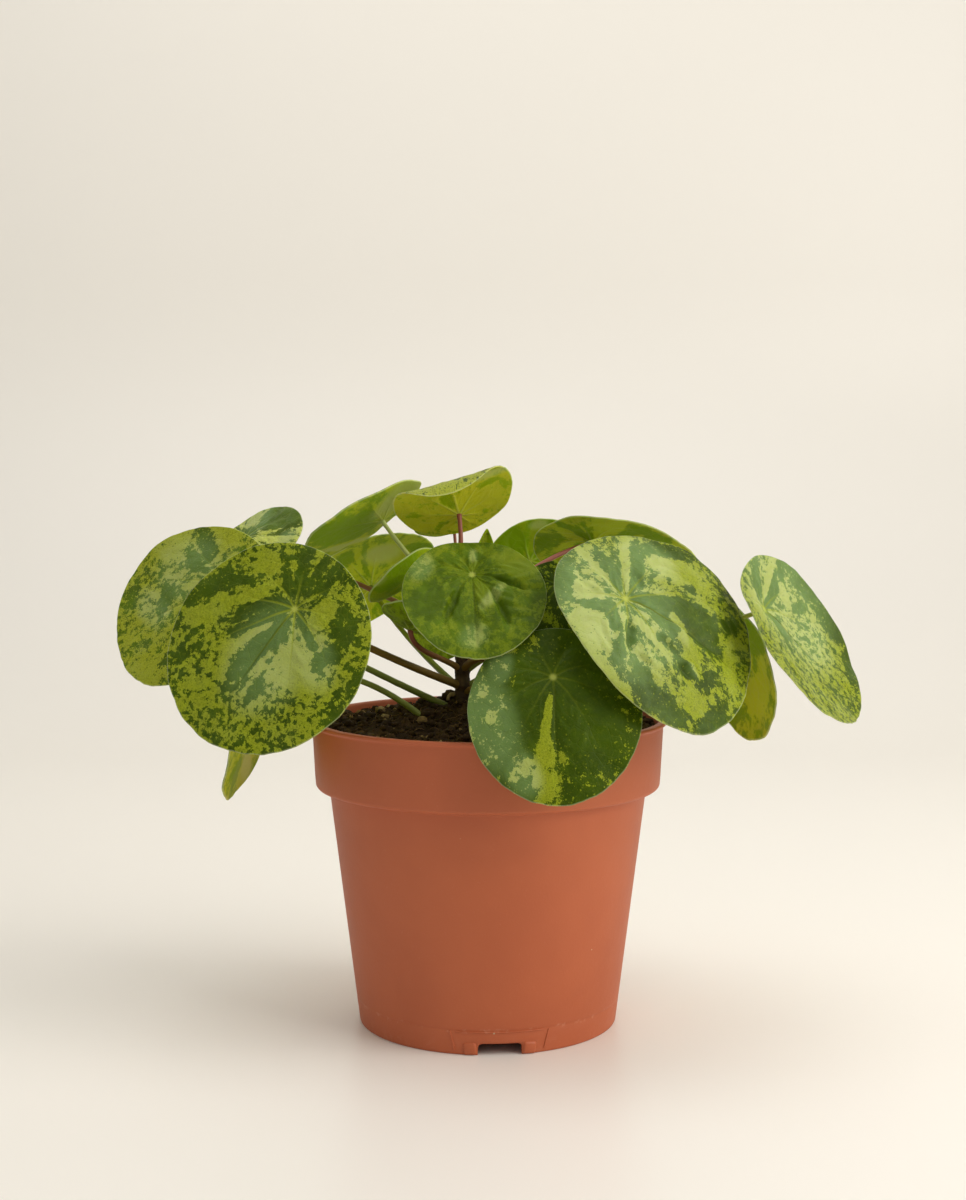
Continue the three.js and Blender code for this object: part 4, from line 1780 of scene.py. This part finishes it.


# the twenty leaves: places and sizes are those of the imported model
# in each blade's marbling, the sheen amounts and the sheen patches are painted bluish sheen of reflected light
LEAVES: tuple[Leaf, ...] = (
    Leaf(
        "front_left", at=(-60, -45, 141.5), faces=(-104, 19), turn=-32, length=69, width=66, root=112,
        lift=19, thick=1.4, tint=Tint.RED, dome=2, quilt=0.4, stalk_tones=BROWN,
        marbling=Marbling(
            light=Tone.LIME, share=0.39, streaks=0.3, speckles=0.9, grain=0.24, film=0.75, bloom=0.08,
            gloss=0.1, vein=0.7,
            marks_and_sheen=patches(
                dark=(
                    (-7.9, -9.9, 7.4, 1.8, 50), (-12.7, -6, 11.2, 2.5, 29), (-13.9, -0.7, 10.2, 2, 12),
                    (-15.6, 3.7, 9.1, 2.2, -4), (8.2, -27.2, 10.9, 3.8, -27), (1.8, -19.6, 5.3, 1.6, 123),
                    (7.5, -10.7, 10, 2.8, -40), (1.7, -5.3, 6.1, 1.9, 111), (9.4, -6.6, 8.3, 1.8, -39),
                    (21.3, -2.3, 13.5, 3.7, -5), (10.7, 1.2, 7.7, 3.2, -172), (28, 5.7, 5.8, 1.9, 9),
                    (-4.9, 17.1, 7, 3.9, -137), (3.5, 20.1, 5.1, 3, 170), (7.3, 17.8, 3.3, 2.5, 16),
                    (4.2, 8.8, 9.2, 1.5, 61), (24.4, -27.9, 2.7, 1.7, 78), (23.8, -22.8, 4.2, 1.4, 160),
                    (33.4, -22.9, 3.1, 2.2, 112), (27.1, -19.2, 2.2, 1.4, 158), (33, -14.2, 1.7, 1.2, 76),
                    (8.8, 31.1, 5.8, 2.3, 16), (19.7, 31.3, 4.4, 1.6, -1), (-6.2, -21, 3.4, 1.1, -35),
                ),
                light=(
                    (-4.2, 9, 5.6, 3.3, 175), (-7.3, -16.8, 7.6, 3.5, -67), (15.9, 13.7, 9.8, 4.6, 62),
                    (18.7, -24.9, 7.6, 3.3, 133), (6.5, -15.7, 7.9, 1.8, 128), (14, -6.2, 5.6, 1.2, 150),
                    (18.6, 1.8, 6, 1.2, 170), (21.1, -8.8, 4.3, 1.5, 170),
                ),
                film=((17, 3, 17.8, 13.5, 9), (9.2, 14.9, 10.5, 6.9, 53)),
            ),
        ),
    ),
    Leaf(
        "left", at=(-87.5, -8, 146.5), faces=(-121, 32), turn=-61, length=61, width=60, root=(-15, -1),
        lift=25, thick=1.2, tint=Tint.GREEN, dome=1, egg=0.15, droop=1, fold=1, stalk_tones=GREEN,
        marbling=Marbling(
            dark=Tone.MOSS, light=Tone.CITRON, share=0.42, streaks=0.15, speckles=1.0, grain=0.3, film=0.6,
            bloom=0.2, gloss=0.1,
            marks_and_sheen=patches(
                dark=(
                    (3.6, -19.8, 10, 3.4, 102), (9, -13.9, 7, 2.4, 110), (21.6, -5.3, 5.7, 3.4, 66),
                    (35.2, -13.2, 5.8, 3.5, 66),
                ),
                light=((17.1, -26.9, 8.1, 7.2, 1), (-4.3, -19, 7.4, 3.5, 137), (32.1, 19.5, 8.5, 4, -58)),
                film=((11.2, -11.8, 12.9, 15.1, 36), (26.7, -3.7, 11.2, 5.8, 118)),
            ),
        ),
    ),
    Leaf(
        "back_left", at=(-83.9, 20, 161), faces=(-134, 45), turn=66, length=41, width=39, root=126.5, lift=36,
        thick=1.0, tint=Tint.RED, dome=1, sag=0.3, stalk_tones=BROWN_TO_RED,
        marbling=Marbling(
            dark=Tone.MOSS, light=Tone.GLOW_PALE, share=0.42, streaks=0.8, film=1.0, bloom=0.4, gloss=0.12,
            marks_and_sheen=patches(
                dark=((6.2, 13.4, 11.5, 6, 19), (-2.4, 2.7, 6.5, 2, 15)),
                light=((16.1, 7.7, 9.4, 1.5, 33), (-5.7, 6.5, 5, 3, 100)),
                film=((-4.7, 8.3, 6.2, 10.5, 61), (19.3, 10.5, 4.3, 4.2, 41)),
            ),
        ),
    ),
    Leaf(
        "low_left", at=(-75.5, -14, 110.5), faces=(171, 19), turn=-31, length=56, width=53, root=(-22, -12),
        lift=42, thick=1.1, tint=Tint.GREEN, dome=1, droop=-1, fold=-1, reach=0.55, sag=1.5,
        marbling=Marbling(
            share=0.45, streaks=0.6,
            marks_and_sheen=patches(
                dark=((24.6, 12.9, 6.7, 5.3, -179),),
                light=((32.2, 2.9, 5.9, 6.2, -97),),
                film=((31.4, 1.1, 3.9, 10.9, -113),),
            ),
        ),
    ),
    Leaf(
        "high_left", at=(-36.4, 10, 168.2), faces=(157, 54), turn=76, length=47, width=44.5, root=130.5,
        lift=60, thick=0.95, tint=Tint.GREEN, dome=-1, egg=-0.14, droop=-1, stalk_tones=GREEN_TO_PALE,
        marbling=Marbling(
            share=0.45, streaks=0.6,
            marks_and_sheen=patches(
                dark=((17, -2, 17, 11, 0), (6, -6, 8, 5, 0)),
                light=((2, 14, 14, 10, 100), (4, -15, 14, 3, 0)),
                film=((2, 15, 14, 10, 100), (4, -15.5, 14, 2.5, 0)),
            ),
        ),
    ),
    Leaf(
        "inner_back", at=(-43.5, 61, 142.8), faces=(127, 46), turn=130, length=54, width=58, root=110.5,
        lift=18, thick=1.15, tint=Tint.GREEN, dome=6, droop=1, fold=-1.5, stalk_tones=OLIVE,
        marbling=Marbling(
            share=0.35, streaks=0.9,
            marks_and_sheen=patches(
                dark=((25.4, 0.5, 4.6, 6.8, -65), (19.3, 6.6, 13.9, 1.1, -158), (9.9, 24.2, 5.6, 3.6, 158)),
                light=((20.6, 4.2, 11.8, 0.9, -162), (14.6, 11.7, 7.4, 7.9, 96)),
                film=((14.6, 11.7, 7, 7.7, 115),),
            ),
        ),
    ),
    Leaf(
        "inner_left", at=(-23, -12, 152), faces=(158, 46), turn=5, length=27, width=30, root=123, lift=45,
        thick=0.9, tint=Tint.RED, dome=-3, stalk_tones=BROWN_TO_RED,
        marbling=Marbling(
            under=Tone.GLOW_GREEN,
            marks_and_sheen=patches(
                dark=((2, 9.2, 9.4, 4.9, 179),),
                film=((9.6, 17.6, 4.1, 4.6, -25),),
            ),
        ),
    ),
    Leaf(
        "inner_small", at=(-25, -16, 133), faces=(50, 60), turn=-122, length=26, width=25, root=117, lift=38,
        thick=1.1, tint=Tint.RED, dome=-2, droop=-1, stalk_tones=BROWN_TO_RED,
        marbling=Marbling(under=Tone.GLOW_DEEP, under_dark=Tone.LEAF),
    ),
    Leaf(
        "front_middle", at=(-5, -38, 151.5), faces=(-86, 41), turn=1, length=46, width=45, root=127, lift=50,
        thick=1.0, tint=Tint.RED, dome=1, fold=3.5, quilt=0.7, stalk_tones=BROWN_TO_RED,
        marbling=Marbling(
            dark=Tone.MOSS, light=Tone.LEAF, share=0.55, streaks=0.3, grain=0.35, soft=0.09, film=0.5,
            gloss=0.1, vein=0.3, rough=0.35,
            marks_and_sheen=patches(
                light=((-3.2, 14.6, 7, 6.4, 47), (8.3, 2.8, 6.1, 2.4, 19), (-6.5, 0.6, 3, 0.8, -176)),
                dark=(
                    (10.8, -14.3, 6.9, 5, -36), (2.6, 8.7, 5.5, 1.4, -102), (13.9, -5.2, 11.4, 1.3, 5),
                    (14.3, 10.2, 7.7, 1.2, -10),
                ),
                film=(
                    (-1.9, -16.1, 6.1, 4, -17), (24.4, -1.2, 4, 5.2, 45), (-7.5, 0.7, 3, 1.6, -3),
                    (9.4, 5.9, 6.4, 2, 139),
                ),
                dent=((12, -7, 9, 1.4, -22), (14, 8, 8, 1.2, 18), (5, 12, 6, 1, 60)),
            ),
        ),
    ),
    Leaf(
        "top", at=(-9.7, -4, 170.3), faces=(105.4, 44), turn=158, length=39.5, width=40.5, root=130.5,
        lift=60, thick=1.0, tint=Tint.RED, dome=-1, curl=19, join=0.275, stalk_tones=RED,
        marbling=Marbling(
            light=Tone.CITRON, under=Tone.GOLD, under_dark=Tone.GLOW_GREEN, share=0.2, streaks=0.4,
            speckles=1.0,
            marks_and_sheen=patches(
                dark=(
                    (7.8, -2.3, 4.6, 2.3, 166), (-2.8, -5.9, 2.1, 2.5, 139), (4.8, -14.5, 2.7, 1.9, -88),
                    (10.9, 11.9, 4.3, 1.7, -100), (7.9, 16.8, 3.3, 1.1, 167), (-2, 9.4, 2.1, 1.4, -94),
                ),
                light=((-1.6, -13.9, 5.4, 2.4, -36), (2, 9.5, 6.8, 4.8, 96)),
                film=((16, 8.9, 13.4, 2.8, -88),),
            ),
        ),
    ),
    Leaf(
        "top_small", at=(-12.1, 10, 169.5), faces=(115, 62), turn=0, length=24, width=24, root=130.5, lift=60,
        thick=0.7, tint=Tint.RED, stalk_tones=BROWN_TO_RED,
        marbling=Marbling(under_dark=Tone.GLOW_GREEN),
    ),
    Leaf(
        "back_right", at=(16, 66, 151), faces=(78, 12), turn=-38, length=51, width=49, root=122, lift=45,
        thick=1.0, tint=Tint.GREEN, dome=1.5,
        marbling=Marbling(
            under=Tone.GLOW_GREEN, share=0.5, streaks=0.6,
            marks_and_sheen=patches(
                dark=((-10.3, -0.8, 4.9, 5.6, 91),),
                light=((-8.2, -11.4, 6.5, 2.2, 66),),
                film=((-8.9, -12, 3.9, 1.9, -66),),
            ),
        ),
    ),
    Leaf(
        "high_right", at=(36.5, 22, 160.5), faces=(70, 60), turn=-23, length=60, width=58, root=126, lift=57,
        thick=1.0, tint=Tint.RED, dome=1, egg=0.04, reach=0.42, sag=0.68, stalk_tones=RED,
        marbling=Marbling(
            share=0.34, streaks=0.75,
            marks_and_sheen=patches(
                dark=(
                    (-9.1, 1.1, 8.4, 2.2, -9), (-7.4, -3.1, 7.2, 0.8, 20), (-6.5, 14.2, 7.8, 4.4, 66),
                    (0, -16.9, 14.1, 2.4, 89), (4.1, -22.3, 9.5, 3, -19),
                ),
                light=(
                    (-7.3, -12.8, 5.1, 9.3, -48), (-8.9, 5.6, 4, 2.4, -3), (2.5, -27.7, 4.3, 2.2, -44),
                    (15.9, -27.6, 7.5, 1.7, 8),
                ),
            ),
        ),
    ),
    Leaf(
        "front_right", at=(42.5, -48, 145), faces=(-57, 36), turn=53, length=73, width=70, root=110, lift=15,
        thick=1.2, tint=Tint.RED, dome=5, egg=0.22, droop=3, fold=1.5, join=0.32, quilt=0.8, crumple=0.7,
        stalk_tones=BROWN_TO_RED,
        marbling=Marbling(
            light=Tone.LIME, share=0.48, streaks=0.6, speckles=0.9, grain=0.3, film=0.95, bloom=0.3,
            gloss=0.2, vein=0.7,
            marks_and_sheen=patches(
                dark=(
                    (-20.7, -3.6, 11.6, 4.2, -78), (-8.5, -8.3, 6.1, 2.4, 19), (-8.8, 8.1, 9.3, 2.7, -49),
                    (0.3, 14.5, 11.6, 2.9, -84), (8.7, 29.2, 8.4, 3.7, 19), (19.3, 18.6, 3.7, 3, 1),
                    (13.6, 5.7, 12, 3.4, 23), (26.4, 5.6, 9.8, 6.9, -23), (14.2, -1.6, 6, 2.9, -15),
                    (37.3, 14.6, 3.4, 5.1, -38), (-0.7, -14.8, 12.3, 2.4, -65), (18.4, -30.2, 12.1, 4.2, -12),
                    (40, -24, 8.1, 3.7, -105), (12.1, -25.1, 7.1, 3.1, -41), (33.4, -12.3, 4.8, 2, -101),
                    (23, -13.9, 4.8, 2.6, -13),
                ),
                light=(
                    (17.4, 23.1, 12.1, 5.4, 17), (-10.4, -15, 5.4, 3.5, -146), (-4.3, -18.3, 6.7, 5, -139),
                    (41.1, -2, 9.4, 3.1, -77), (21.7, -3, 9.9, 2.8, -47), (-14.3, 8.8, 11.5, 1.5, -39),
                    (-4, 17.2, 13.1, 1.8, -77), (-12.3, -3.3, 5.5, 3.3, -6), (31, -23.1, 4.8, 4.3, 148),
                    (13.4, -10.7, 9.5, 2, -23), (3, -31, 11.4, 2.1, -30),
                ),
                film=((-2.7, -6.5, 25.4, 22.5, -53), (2.4, 19.5, 11.3, 9.9, -149)),
                dent=(
                    (24.9, -14.7, 3.7, 1.6, 157), (15.8, -9.1, 4.6, 1.8, -20), (4.4, -13.5, 5.5, 1.4, -74),
                    (1.7, 9.3, 4.4, 1.6, -63),
                ),
                bulge=(
                    (27.4, -13.2, 3.4, 1.7, -39), (1.6, -16.4, 5.8, 1.6, -81), (12.2, -17.3, 4, 2.2, -28),
                    (19.9, -3.1, 5.6, 2.4, -40),
                ),
            ),
        ),
    ),
    Leaf(
        "low_right", at=(85.5, 4, 127), faces=(22, 13), turn=15, length=50, width=48, root=111, lift=35,
        thick=1.0, tint=Tint.GREEN, dome=3,
        marbling=Marbling(
            share=0.5, streaks=0.2,
            marks_and_sheen=patches(
                dark=((-8.6, -8.5, 11.9, 8, -24), (29.9, 4.9, 6.5, 3.2, -145)),
                light=((16.2, -10.5, 10.9, 5.9, 40), (3.6, -14.8, 5.7, 2.7, 6)),
            ),
        ),
    ),
    Leaf(
        "right", at=(89.5, -20, 139.5), faces=(-32, 31), turn=39, length=64, width=62, root=116, lift=42,
        thick=1.05, tint=Tint.GREEN, dome=-1.5, egg=-0.05, fold=2.5, join=0.22, quilt=0.45,
        marbling=Marbling(
            light=Tone.LIME, share=0.45, speckles=1.0, grain=0.42, film=0.95, bloom=0.3, gloss=0.2, vein=0.6,
            marks_and_sheen=patches(
                dark=(
                    (-7, 8.7, 9.9, 2.8, -70), (2.7, 15.5, 15.4, 2.2, -99), (14.3, 30.1, 14, 7, -3),
                    (16.2, 16.5, 2.4, 5.2, -33), (6.8, -2.4, 6.1, 2.6, -17), (30.8, 22.7, 9.1, 4.6, -26),
                    (44.2, 12, 8.6, 3.5, -74),
                ),
                light=((-0.6, 18.2, 15.4, 1.4, -94), (7.4, 15.1, 5.7, 2.5, -45), (-5.4, -4.3, 6.5, 3.8, 128)),
                film=((6.1, 14, 29.6, 26, -26), (-7, 6.1, 10.7, 6.2, -89)),
            ),
        ),
    ),
    Leaf(
        "inner_right", at=(23.5, -7, 146.7), faces=(-85, 25), turn=0, length=30, width=30, root=121, lift=40,
        thick=0.9, tint=Tint.GREEN, dome=1,
        marbling=Marbling(dark=Tone.DEEP, light=Tone.LEAF, share=0.6, film=0.2),
    ),
    Leaf(
        "front_low", at=(19.5, -60, 122), faces=(-91, 24), turn=3, length=56, width=53, root=117, lift=38,
        thick=1.3, tint=Tint.RED, dome=3, egg=-0.05, quilt=0.4, stalk_tones=BROWN_TO_RED,
        marbling=Marbling(
            light=Tone.LIME, share=0.85, streaks=0.3, speckles=0.9, grain=0.3, soft=0.02, film=0.9, gloss=0.1,
            vein=0.2, rough=0.32,
            marks_and_sheen=patches(
                light=(
                    (17.9, -3.6, 7.7, 1.3, 168), (27, -4, 9.1, 3.2, 175), (35.2, -3.7, 9.7, 4.4, 177),
                    (27, -4, 12, 1.6, 175), (9.1, 3.8, 3.3, 1.3, 39), (-7.5, -0.1, 5.6, 1.0, 177),
                    (-9.3, -3.7, 5.8, 1.2, 16), (9, -1.7, 7, 1.1, 169), (14, -2.7, 8, 1.5, 169),
                    (-10.2, -5.9, 2.4, 0.9, -174), (-9.4, -13.2, 3, 1.1, 95), (11.4, -19.4, 1.9, 1.8, 177),
                    (11.4, -19.4, 1.9, 1.8, 177), (25, 1.7, 1.9, 1.2, -147), (28.1, -10.6, 5.2, 1.9, -47),
                    (4, -21.3, 2.4, 0.9, -74),
                ),
                dark=((3, 6.4, 23.9, 9, 14), (2.3, -8.5, 12.5, 3, -13)),
                film=((12.5, -20, 18, 8.5, 14), (29.6, -11, 8, 5.5, 23), (-4.3, -16, 7.4, 4, -16)),
            ),
        ),
    ),
    Leaf(
        "back", at=(-13.5, 50, 128), faces=(131, 18), turn=142, length=36, width=34, root=117, lift=45,
        thick=0.95, tint=Tint.GREEN, dome=4,
        marbling=Marbling(under=Tone.GLOW_DEEP, under_dark=Tone.LEAF, share=0.5),
    ),
    Leaf(
        "youngest", at=(-0.5, 0, 151.5), faces=(-100, 8), turn=180, length=19, width=6.5, root=131, lift=62,
        thick=0.6, tint=Tint.GREEN, fold=2, point=0.55, quilt=0.1, crumple=0.15,
        marbling=Marbling(dark=Tone.LIME, light=Tone.GLOW_GREEN, share=0.3, speckles=0.6),
    ),
)


# ---------------------------------------------------------------- studio


@dataclass(frozen=True)
class Lamp:
    """A soft lamp: where it hangs, the point it faces, the side of its square face, its watts and its colour."""

    name: str
    at: tuple[float, float, float]
    aim: tuple[float, float, float]
    size: float
    power: float
    colour: tuple[float, float, float]

    def add(self) -> None:
        """Adds the lamp to the scene."""
        data = bpy.data.lights.new(self.name, "AREA")
        data.size = self.size * MM
        data.energy = self.power
        data.color = self.colour
        holder = stand(self.name, data)
        holder.location = Vector(self.at) * MM
        holder.rotation_euler = (Vector(self.aim) - Vector(self.at)).to_track_quat("-Z", "Y").to_euler()


@dataclass
class Studio:
    """A plain pale sweep, soft light from the right, and a camera where the picture's was."""

    camera_at: tuple[float, float, float] = (-1.6, -590.0, 181.2)
    camera_down: float = 3.9
    lens: float = 53.1
    sensor: float = 36.0
    front: float = -1500.0
    back: float = 900.0
    bend: float = 350.0
    bend_steps: int = 16
    wall: float = 2200.0
    half_width: float = 2500.0
    air: tuple[float, float, float, float] = (1.0, 0.98, 0.95, 1.0)
    air_strength: float = 0.34

    LAMPS = (
        Lamp("key", (760, -360, 620), (0, 0, 110), 760, 7.3, (1.0, 0.97, 0.93)),
        Lamp("fill", (-650, -700, 420), (0, 0, 110), 900, 0.5, (1.0, 0.99, 0.97)),
        Lamp("top", (-100, 150, 1150), (0, 100, 0), 1500, 5.0, (1.0, 0.985, 0.96)),
        Lamp("wash", (-150, 100, 1300), (-100, 900, 500), 900, 2.5, (1.0, 0.98, 0.95)),
    )
    GRAIN = Clouds(900.0, 3.0, 0.6)

    def build(self) -> None:
        """Makes the sweep, the lights, the air and the camera."""
        self.add_sweep()
        for lamp in self.LAMPS:
            lamp.add()
        world = bpy.data.worlds.new("studio_air")
        world.use_nodes = True
        background = world.node_tree.nodes["Background"]
        background.inputs["Color"].default_value = self.air
        background.inputs["Strength"].default_value = self.air_strength
        bpy.context.scene.world = world
        bpy.context.scene.view_settings.view_transform = "Standard"
        self.add_camera()

    def add_sweep(self) -> None:
        """Makes the floor that curves up into a backdrop."""
        mesh = bmesh.new()
        flat_end = self.back - self.bend
        points = [(self.front, 0.0), (flat_end, 0.0)]
        for step in range(1, self.bend_steps):
            angle = math.radians(90 * step / self.bend_steps)
            points.append((flat_end + self.bend * math.sin(angle), self.bend * (1 - math.cos(angle))))
        points += [(self.back, self.bend), (self.back, self.wall)]
        verts = [mesh.verts.new((-self.half_width * MM, y * MM, z * MM)) for y, z in points]
        edges = [mesh.edges.new(pair) for pair in zip(verts, verts[1:])]
        grown = bmesh.ops.extrude_edge_only(mesh, edges=edges)["geom"]
        far = [item for item in grown if isinstance(item, BMVert)]
        bmesh.ops.translate(mesh, vec=(2 * self.half_width * MM, 0, 0), verts=far)
        bmesh.ops.recalc_face_normals(mesh, faces=mesh.faces)
        for face in mesh.faces:
            face.smooth = True
        data = written("studio_floor", mesh)
        floor = stand("studio_floor", data)
        tree = Tree("studio_paper")
        grain = tree.noise(tree.place(), self.GRAIN)
        colour = tree.mix(grain * 0.04, Tone.FLOOR, Tone.CREAM)
        paper = tree.finish({"Specular IOR Level": 0.35}, colour=colour, rough=grain * 0.1 + 0.3)
        data.materials.append(paper)

    def add_camera(self) -> None:
        """Adds the camera."""
        data = bpy.data.cameras.new("picture")
        data.lens = self.lens
        data.sensor_width = self.sensor
        data.sensor_fit = "AUTO"
        data.clip_start = 0.01
        camera = stand("picture", data)
        camera.location = Vector(self.camera_at) * MM
        camera.rotation_euler = (math.radians(90 - self.camera_down), 0, 0)
        bpy.context.scene.camera = camera


# ---------------------------------------------------------------- the whole


def main() -> None:
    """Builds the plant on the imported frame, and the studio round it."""
    logging.basicConfig(level=logging.INFO, format="%(name)s: %(message)s")
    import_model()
    pot, soil, stem = Pot(), Soil(), Stem()
    pot.build(PotPlastic())
    soil.build(pot, Peat())
    stem.build(Bark())
    for leaf in LEAVES:
        leaf.build_stalk(stem, soil)
        leaf.build_blade()
    Studio().build()


if __name__ == "__main__":
    main()
